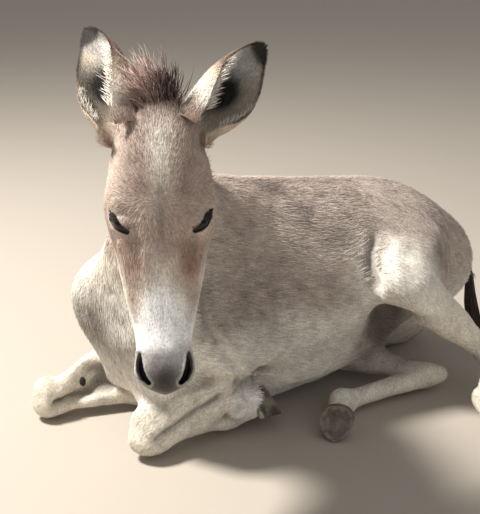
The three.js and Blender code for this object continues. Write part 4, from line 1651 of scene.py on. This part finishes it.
# cover, slimness, fineness in metres, lift, unruliness
GROWTH = {
    "coat_head_left": (2.5, 0.06, 0.0004, 0.12, 0.14),
    "coat_head_right": (2.5, 0.06, 0.0004, 0.12, 0.14),
    "coat_ears": (1.9, 0.07, 0.0004, 0.16, 0.2),
    "coat_forelegs": (1.9, 0.07, 0.0004, 0.12, 0.18),
    "coat_hindlegs": (1.9, 0.07, 0.0004, 0.12, 0.18),
    "coat_thigh_left": (2.1, 0.06, 0.0004, 0.11, 0.16),
    "coat_thigh_right": (2.1, 0.06, 0.0004, 0.11, 0.16),
    "coat_neck": (2.6, 0.06, 0.0004, 0.12, 0.18),
    "coat_tail": (2.4, 0.08, 0.0005, 0.12, 0.2),
    "coat_chest": (2.0, 0.06, 0.0004, 0.11, 0.18),
    "coat_flank_left": (2.9, 0.055, 0.0004, 0.11, 0.18),
    "coat_flank_right": (2.9, 0.055, 0.0004, 0.11, 0.18),
}


def grow_piece(name, number):
    holder = put_in_scene(name, skin.data)
    growth = holder.modifiers.new("growth", "NODES")
    growth.node_group = coat_tree
    values = dict(zip(SIZES[2:], GROWTH[name]))
    values.update({"Piece": number, "Seed": FIRST_SEED + number, "Tuft": tuft})
    for socket, value in values.items():
        growth[sockets[socket].identifier] = value
    mesh = result_of(holder)
    holder.modifiers.clear()
    holder.data = mesh
    mesh.name = name
    print(name, len(mesh.polygons) // len(TUFT_FACES), "tufts", len(mesh.polygons), "triangles")
    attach(holder, "root")


for number, name in enumerate(piece_names):
    grow_piece(name, number)

# %% [markdown]
# ## Hooves
# A donkey's hoof is a small upright box of horn. Rings of growth run round its
# wall, parallel to the coronet, and its sole is a hollow with a wedge of softer
# horn, the frog, that points to the toe. A bump map would only hint at the frog
# and its grooves. So each solid hoof is copied, wrapped in a fine net and
# carved by sums on its own length, width and height.

# %% Where each hoof points
HOOVES = {
    "forehoof_left": ((141, 58, 60), (0.25, 0.82, 0.5), (0, 0.52, -0.85)),
    "forehoof_right": ((-68, 4, 35), (0.13, 0.85, 0.5), (0.075, 0.49, -0.866)),
    "hindhoof_left": ((460, 381, 13), (0.365, 0.535, -0.762), (0.72, -0.675, -0.13)),
    "hindhoof_right": ((251, 126, 35), (0.563, -0.658, 0.5), (0.325, -0.38, -0.866)),
}
HOOF_HALF_LENGTH = 37
HOOF_HALF_WIDTH = 30
RING_HEIGHT = 6.5


print("hooves:", list(HOOVES))


# %% Carving by sums
def carve_hoof(points, normals, sole, facing, toe):
    """Growth rings on the wall, a hollow sole and a frog."""
    facing = unit(facing)
    toe = unit(np.array(toe) - facing * (facing @ toe))
    across = np.cross(facing, toe)
    away = (points - at(*sole)) / MM
    up, ahead, wide = -(away @ facing), away @ toe, away @ across
    shield = 1.1 - 0.24 * np.clip(ahead / HOOF_HALF_LENGTH, -1, 1)
    reach_out = np.hypot(ahead / HOOF_HALF_LENGTH, wide / HOOF_HALF_WIDTH)
    wall = ease((up - 2) / 3) * (reach_out > 0.5)
    wave = np.sin(up * 2 * math.pi / RING_HEIGHT + 0.6 * np.sin(ahead * 0.12)) * 0.4
    wave = wave + np.sin(up * 2.3 + wide * 0.05) * 0.15
    coronet = 1.2 * ease((up - 30) / 5)
    on_sole = ease((4.5 - up) / 3)
    hollow = ease((0.86 - reach_out) / 0.14) * on_sole
    wedge = 14 * np.clip((14 - ahead) / 46, 0, 1)
    frog = ease((wedge + 1.5 - abs(wide)) / 3) * (ahead < 14)
    gutter = hill(abs(wide) - wedge - 3, 2.2) * (ahead < 16)
    cleft = hill(wide, 2.2) * ease((-ahead - 8) / 10)
    sink = hollow * (5.0 - 4.2 * frog + 2.2 * gutter + 2.6 * cleft * frog)
    white_line = 0.7 * hill(reach_out - 0.88, 0.03) * on_sole
    lift = wall * (wave + coronet) - white_line
    widened = across * (wide * (shield - 1) * MM)[:, None] + toe * (ahead * 0.06 * MM)[:, None]
    points = points + widened + normals * (lift * MM)[:, None] - facing * (sink * MM)[:, None]
    return points, up, on_sole


print("one growth ring for every", RING_HEIGHT, "mm of height")

# %% Horn
horn, shader, pen = new_finish("horn")
place = pen.place()
height = pen.attribute("height")
under = pen.attribute("under")
band = pen.join(height * 160.0, pen.noise(place, 30.0) * 2.0, 0.0)
rings = pen.noise(band, 1.0, 3.0)
dust = (pen.noise(place, 55.0, 4.0) + under * 0.12).rise(0.48, 0.72)
wall = pen.mix(rings.rise(0.35, 0.65), rgba(tint(66, 60, 56)), rgba(tint(108, 100, 92)))
crumbs = pen.noise(place, 130.0, 4.0).rise(0.4, 0.6)
sole = pen.mix(crumbs, rgba(tint(90, 84, 77)), rgba(tint(124, 115, 104)))
hoof_colour = pen.mix(dust * 0.55, pen.mix(under, wall, sole), rgba(tint(150, 140, 124)))
hair_band = (height + pen.noise(place, 90.0) * 0.004).rise(0.035, 0.038)
into(shader, "Base Color", pen.mix(hair_band, hoof_colour, rgba(tint(206, 198, 184))))
into(shader, "Roughness", 0.5 + dust * 0.35)
grain = pen.noise(place, 340.0, 3.0) * 0.5 + rings * 0.5
into(shader, "Normal", pen.bump(grain, 0.6, 0.0008))
print("finish", horn.name)


# %% Carve the four hooves
HOOF_VOXEL = 1.9 * MM


def make_hoof(name):
    bm = bmesh.new()
    add_swollen(bm, name, 0)
    mesh = wrapped(as_mesh(bm, name), HOOF_VOXEL)
    hoof = put_in_scene(name.replace("hoof", "hoof_horn"), mesh)
    points = read_points(mesh)
    net = Net(len(points), read_edges(mesh))
    points = net.soften(points, 10)
    normals = normals_of(points, read_corners(mesh))
    points, up, on_sole = carve_hoof(points, normals, *HOOVES[name])
    points = net.soften(points, 1)
    mesh.vertices.foreach_set("co", points.ravel())
    mesh.shade_smooth()
    keep(mesh, "height", "FLOAT", up * MM)
    keep(mesh, "under", "FLOAT", on_sole)
    mesh.materials.clear()
    mesh.materials.append(horn)
    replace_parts(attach(hoof, "root"), name)
    print(hoof.name, len(mesh.polygons), "squares")


for name in HOOVES:
    make_hoof(name)


# %% The chestnut
CHESTNUT = (-106, -222, 74)
CHESTNUT_HALF = (2.2, 7.0, 9.5)
CHESTNUT_PROUD = 2.6
skin_faces = BVHTree.FromPolygons(points.tolist(), skin_corners.tolist())
place, normal = skin_faces.find_nearest(Vector(at(*CHESTNUT)))[:2]
bm = bmesh.new()
bmesh.ops.create_icosphere(bm, subdivisions=4, radius=1)
turn = normal.to_track_quat("X", "Z").to_matrix()
for v in bm.verts:
    rough = 1 + 0.1 * math.sin(9 * v.co.y + 2 * v.co.z) * math.sin(8 * v.co.z)
    out = turn @ Vector([c * h * MM * rough for c, h in zip(v.co, CHESTNUT_HALF)])
    v.co = place + normal * CHESTNUT_PROUD * MM + out
mesh = as_mesh(bm, "chestnut")
mesh.shade_smooth()
mesh.materials.append(plain_finish("chestnut_horn", rgba(tint(42, 38, 37)), 0.8))
chestnut = put_in_scene("chestnut", mesh)
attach(chestnut, "root")
print("chestnut at", tuple(round(c, 3) for c in place))

# %% [markdown]
# ## Eyes
# The ball is a sphere with a clear bulge in front. A donkey's eye is very dark:
# brown near the rim, with a wide level pupil. The iris is coloured by how far a
# point lies across and above the gaze, so it needs no painted map. A coat of
# clear gloss stands for the tear film, and it is what makes an eye look alive.

# %% Eye finish
eye_finish, shader, pen = new_finish("eye")
across = pen.attribute("across")
upward = pen.attribute("upward")
ring = (across * across + upward * upward) ** 0.5
pupil = ((across / 9.0) ** 2.0 + (upward / 4.2) ** 2.0).rise(0.8, 1.15)
fibre = pen.noise(pen.join(across, upward, 0.0), 0.9, 4.0)
iris = pen.mix(fibre, rgba(tint(24, 16, 12)), rgba(tint(52, 35, 24)))
ball = pen.mix(ring.rise(12.0, 14.5), pen.mix(pupil, rgba(tint(8, 7, 8)), iris), rgba(tint(34, 26, 22)))
into(shader, "Base Color", ball)
shader.inputs["Roughness"].default_value = 0.2
shader.inputs["Coat Weight"].default_value = 0.12
shader.inputs["Specular IOR Level"].default_value = 0.2
shader.inputs["Coat Roughness"].default_value = 0.03
print("finish", eye_finish.name)


# %% The balls
CORNEA_RISE = 0.055
CORNEA_WIDE = 0.55


def make_eye(s, name):
    bm = bmesh.new()
    bmesh.ops.create_icosphere(bm, subdivisions=5, radius=EYE_RADIUS * MM)
    gaze = on_side(s, GAZE)
    level = unit(np.cross(gaze, (0, 0, 1)))
    rise = np.cross(level, gaze)
    across, upward = [], []
    for v in bm.verts:
        p = np.array(v.co)
        off = math.acos(np.clip(unit(p) @ gaze, -1, 1))
        p = p * (1 + CORNEA_RISE * math.exp(-((off / CORNEA_WIDE) ** 4)))
        across.append(p @ level / MM)
        upward.append(p @ rise / MM if off < 1.4 else 18)
        v.co = eye_at(s) + p
    mesh = as_mesh(bm, name)
    mesh.shade_smooth()
    keep(mesh, "across", "FLOAT", across)
    keep(mesh, "upward", "FLOAT", upward)
    mesh.materials.append(eye_finish)
    ball = put_in_scene(name, mesh)
    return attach(ball, "root")


for s, side_name in SIDES.items():
    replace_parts(make_eye(s, f"eyeball_{side_name}"), f"eye_{side_name}")
print("two eyes of radius", EYE_RADIUS, "mm")

# %% [markdown]
# ## Long hair
# Mane, tail switch, lashes and the pale hair in the ears are longer than the
# coat, and each lock bends on its own. Straight copies of one tuft would look
# like a brush. They are made as arrays: a path for every lock, and round it a
# thin three-sided body pointed at both ends.


# %% Where on the map a root lies
map_points = read_points(skin.data)
loop_vertex = np.empty(len(skin.data.loops), int)
skin.data.loops.foreach_get("vertex_index", loop_vertex)
loop_map = np.empty(len(skin.data.loops) * 2)
skin.data.uv_layers["OFBake"].data.foreach_get("uv", loop_map)
vertex_map = np.zeros((len(map_points), 2))
vertex_map[loop_vertex] = loop_map.reshape(-1, 2)
skin_tree = tree_of(map_points)


print("map kept for", len(vertex_map), "points")


# %% Locks from paths
def lock_faces(rings):
    """The faces of one lock: a point, some rings of three, and a point."""
    last = 1 + 3 * rings
    faces = [(0, 1 + (i + 1) % 3, 1 + i) for i in range(3)]
    for r in range(rings - 1):
        low, high = 1 + 3 * r, 4 + 3 * r
        for i in range(3):
            j = (i + 1) % 3
            faces += [(low + i, low + j, high + j), (low + i, high + j, high + i)]
    return faces + [(last, last - 3 + i, last - 3 + (i + 1) % 3) for i in range(3)]


def locks(name, paths, widths, colours, finish, flat=1.0):
    """A mesh of locks. paths is locks x stations x 3, from root to tip."""
    count, stations = paths.shape[:2]
    rings = stations - 2
    along = unit(paths[:, -1] - paths[:, 0])
    side = unit(np.cross(along, draw.normal(size=(count, 3))))
    across = np.cross(along, side)
    share = np.linspace(0, 1, stations)
    fat = np.sin(math.pi * (0.12 + 0.8 * share)) ** 0.7
    corners = [paths[:, 0]]
    for r in range(1, stations - 1):
        for i in range(3):
            angle = 2 * math.pi * i / 3
            way = side * math.cos(angle) + across * math.sin(angle) * flat
            corners.append(paths[:, r] + way * (widths * fat[r] / 2)[:, None])
    corners.append(paths[:, -1])
    per = 2 + 3 * rings
    points = np.stack(corners, 1).reshape(-1, 3)
    pattern = np.array(lock_faces(rings))
    faces = (pattern[None] + per * np.arange(count)[:, None, None]).reshape(-1, 3)
    mesh = bpy.data.meshes.new(name)
    mesh.from_pydata(points, [], faces)
    mesh.shade_smooth()
    station = np.concatenate([[0], np.repeat(share[1:-1], 3), [1]])
    tone = np.repeat(draw.uniform(0.8, 1.2, count), per)
    keep(mesh, "tip", "FLOAT", np.tile(station, count))
    keep(mesh, "tone", "FLOAT", tone)
    keep_ground(mesh, np.repeat(colours, per, 0))
    root_map = np.array([vertex_map[skin_tree.find(p)[1]] for p in paths[:, 0]])
    turn = np.concatenate([[0.5], np.tile([0, 0.5, 1], rings), [0.5]])
    patch = np.stack([station, turn], 1)[pattern].reshape(1, -1, 2) * PATCH
    uv = (root_map[:, None] + patch).reshape(-1, 2)
    mesh.uv_layers.new(name="OFBake").data.foreach_set("uv", uv.ravel())
    mesh.materials.append(finish)
    holder = put_in_scene(name, mesh)
    print(name, count, "locks", len(faces), "triangles")
    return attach(holder, "root")


print("a lock with 3 rings has", len(lock_faces(3)), "triangles")

# %% Bent paths
HAIR_STATIONS = 5


def bent_paths(roots, ways, lengths, sag, stations):
    """Paths that set off one way and are pulled another way toward the tip."""
    share = np.linspace(0, 1, stations)[None, :, None]
    way = ways[:, None] * share + sag[:, None] * share**2
    return roots[:, None] + way * lengths[:, None, None]


print("each hair path has", HAIR_STATIONS, "stations")

# %% [markdown]
# ## Mane
# A donkey's mane is short and stands up like a brush along the crest of the
# neck, and runs on between the ears as a tuft. Roots follow the crest, and each
# lock leans away from the neck with a little disorder, because an even brush
# looks cut from plastic.

# %% Mane
MANE_HEIGHT = 64
CREST = [at(4, 0, 464), at(92, -108, 610), at(228, -240, 694)]
NECK = [at(2, -66, 388), at(200, -214, 604)]
NECK_SIDE = unit((-0.7, -0.47, 0.39))
MANE_LOCKS = 4200
FORELOCK_LOCKS = 700


def along_line(line, share):
    """Places at those shares of a bent line."""
    steps = np.linspace(0, 1, len(line))
    return np.stack([np.interp(share, steps, c) for c in np.array(line, float).T], 1)


def disorder(count, by):
    """A small random direction for each lock."""
    return draw.normal(size=(count, 3)) * by


def mane_paths(count):
    share = draw.uniform(0.02, 1.04, count)
    crest = along_line(CREST, share)
    ahead = unit(along_line(CREST, share + 0.05) - along_line(CREST, share - 0.05))
    core = along_line(NECK, share)
    rise = crest - core
    rise -= ahead * (rise * ahead).sum(1)[:, None]
    rise -= NECK_SIDE * (rise @ NECK_SIDE)[:, None]
    rise = unit(rise)
    across = draw.uniform(-1, 1, count)
    roots = crest + NECK_SIDE * (across * 10 * MM)[:, None] - rise * (7 * MM)
    tall = np.interp(share, [0, 0.12, 0.5, 0.8, 1.04], [0.35, 0.55, 0.62, 0.85, 0.85]) * MANE_HEIGHT
    tall = tall * draw.uniform(0.45, 1.0, count) * (1 - 0.3 * abs(across)) * MM
    clump = np.sin(share * 160)[:, None] * 0.09
    lean = NECK_SIDE * (across * 0.25 + 0.15)[:, None]
    ways = rise + lean + ahead * clump + disorder(count, 0.2)
    sag = NECK_SIDE * (across * 0.15 + 0.4)[:, None] - ahead * 0.12 + disorder(count, 0.26)
    return bent_paths(roots, unit(ways), tall, sag, HAIR_STATIONS), across


print("crest", (np.linalg.norm(CREST[2] - CREST[0]) / MM).round(), "mm from end to end")


# %% Forelock, and both grown
def forelock_paths(count):
    place = draw.normal(size=(count, 3)) * (13, 13, 8)
    roots = on_head(-2, -8, -28) + (HEAD_SIDE * place[:, :1] + HEAD_ALONG * place[:, 1:2]) * MM
    lean = HEAD_SIDE * (place[:, :1] * 0.02 - 0.12)
    ways = -HEAD_ALONG + lean + HEAD_OUT * 0.12 + disorder(count, 0.2)
    tall = draw.uniform(26, 58, count) * MM
    sag = disorder(count, 0.24) + HEAD_OUT * 0.05 - HEAD_SIDE * 0.3
    return bent_paths(roots, unit(ways), tall, sag, HAIR_STATIONS), place[:, 0]


hair_finish = coat_finish.copy()
hair_finish.name = "long_hair"
MANE_BROWN = tint(158, 134, 124)
MANE_DARK = tint(74, 60, 54)
paths, across = mane_paths(MANE_LOCKS)
# Painted light: locks on the side of the crest that faces the key lamp are lighter brown, those on the far
# side darker.
mix = np.clip(0.55 + across * 0.6 + draw.normal(size=MANE_LOCKS) * 0.2, 0, 1)[:, None]
colours = MANE_BROWN * mix + MANE_DARK * (1 - mix)
lock_paths, lock_side = forelock_paths(FORELOCK_LOCKS)
# The forelock too is painted lighter on the donkey's right, toward the key lamp, and darker on its left.
mix = np.clip(0.9 - lock_side / 16, 0, 1)[:, None]
colours = np.concatenate([colours, MANE_BROWN * 1.1 * mix + MANE_DARK * (1 - mix)])
paths = np.concatenate([paths, lock_paths])
widths = draw.uniform(0.9, 1.7, len(paths)) * MM
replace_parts(locks("mane_hair", paths, widths, colours, hair_finish), "mane")

# %% [markdown]
# ## Tail
# The tail ends in a switch of coarse dark hair. Its locks start along the upper
# part of the dock, follow the same bend down to the floor and thin out there.
# One bent line leads them all, so the switch hangs as one.

# %% Tail switch
TAIL_LINE = [
    at(-8, 712, 226), at(4, 734, 182), at(12, 738, 138), at(24, 732, 96), at(46, 720, 60),
    at(74, 702, 38), at(104, 682, 24), at(134, 658, 15), at(166, 632, 9),
]
TAIL_LOCKS = 1300
TAIL_STATIONS = 8


def tail_paths(count):
    start = draw.uniform(0.05, 0.42, count)
    end = np.minimum(start + draw.uniform(0.35, 0.75, count), 1.0)
    ring = draw.uniform(0, 2 * math.pi, count)
    far = np.sqrt(draw.uniform(0, 1, count))
    wide = np.stack([np.cos(ring), np.sin(ring) * 0.75, np.sin(ring) * 0.8], 1) * far[:, None]
    stations = []
    for share in np.linspace(0, 1, TAIL_STATIONS):
        place = start + (end - start) * share
        radius = np.interp(place, [0, 0.2, 0.5, 0.8, 1], [7, 12, 20, 17, 8]) * (0.55 + 0.45 * share)
        point = along_line(TAIL_LINE, place) + wide * radius[:, None] * MM
        point[:, 2] = np.maximum(point[:, 2], (1.5 + 3 * far) * MM)
        stations.append(point)
    return np.stack(stations, 1)


shade = draw.uniform(0, 1, (TAIL_LOCKS, 1))
tail_colours = tint(44, 36, 33) * shade + tint(78, 64, 56) * (1 - shade)
paths = tail_paths(TAIL_LOCKS)
widths = draw.uniform(2.2, 3.6, TAIL_LOCKS) * MM
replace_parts(locks("tail_hair", paths, widths, tail_colours, hair_finish), "tail_switch")

# %% [markdown]
# ## Hair in the ears, and lashes
# Pale hair fringes the inner edge of each ear and leans over the opening, and
# keeps dust out of it. The lashes of the upper lid point out and down.


# %% Ear fringe
FRINGE_HAIRS = 1100


def ear_fringe(s, count):
    root, axis, opening, across = ear_axes(s)
    inner_sign = -1 if across @ HEAD_SIDE * s > 0 else 1
    on_inner = draw.uniform(size=count) < 0.72
    share = 0.02 + np.where(on_inner, 0.46, 0.36) * draw.uniform(size=count)
    turn = np.where(on_inner, inner_sign, -inner_sign) * draw.uniform(0.72, 0.99, count)
    roots, ways = [], []
    for h, t, inner in zip(share, turn, on_inner):
        p = ear_point(s, h, t, ear_wall(h) * 0.95)
        centre = root + axis * EAR_LENGTH * h * MM + opening * 20 * MM
        roots.append(p)
        ways.append(unit(centre - p) * 0.55 + axis * (1.0 if inner else 0.7) + opening * 0.35)
    roots, ways = np.array(roots), unit(np.array(ways) + disorder(count, 0.13))
    lengths = np.where(on_inner, 19, 13) * draw.uniform(0.6, 1.1, count)
    lengths = lengths * np.interp(share, [0, 0.2, 0.7, 1], [1.1, 1.1, 0.8, 0.3]) * MM
    paths = bent_paths(roots, ways, lengths, axis * 0.25 + disorder(count, 0.14), HAIR_STATIONS)
    pale = np.where(on_inner, 1.0, 0.62) * np.interp(share, [0, 0.45, 0.65], [1, 0.9, 0.45])
    return paths, pale


paths, pale = (np.concatenate(both) for both in zip(*[ear_fringe(s, FRINGE_HAIRS) for s in SIDES]))
colours = tint(226, 218, 206) * pale[:, None] + tint(90, 80, 74) * (1 - pale[:, None])
widths = draw.uniform(0.8, 1.5, len(paths)) * MM
locks("ear_hair", paths, widths, colours, hair_finish)


# %% Lashes
LASHES_EACH = 90


def lash_paths(s, count):
    gaze, slit, lid = eye_axes(s)
    x = draw.uniform(-21, 5, count)
    y = almond(x) + draw.uniform(0.2, 1.6, count)
    z = np.sqrt(LASH_BALL**2 - x**2 - y**2)
    roots = eye_at(s) + (np.outer(z, gaze) + np.outer(x, slit) + np.outer(y, lid)) * MM
    ways = unit(gaze * 0.9 - lid * 0.25 - slit * 0.45 + disorder(count, 0.12))
    lengths = draw.uniform(7, 12, count) * MM
    return bent_paths(roots, ways, lengths, np.tile(-lid * 0.35, (count, 1)), HAIR_STATIONS)


paths = np.concatenate([lash_paths(s, LASHES_EACH) for s in SIDES])
colours = np.tile(tint(52, 45, 42), (len(paths), 1))
widths = draw.uniform(0.45, 0.7, len(paths)) * MM
locks("lashes", paths, widths, colours, hair_finish)

# %% [markdown]
# ## Hang the pieces on the root
# The model hangs on one body, the root, because a still model has no joints.
# The skin takes the place of the plain solids it grew round.

# %% The skin
bpy.data.objects.remove(bpy.data.objects["tuft"])
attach(skin, "root")
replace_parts(skin, *FLESH, "ear_left", "ear_right")
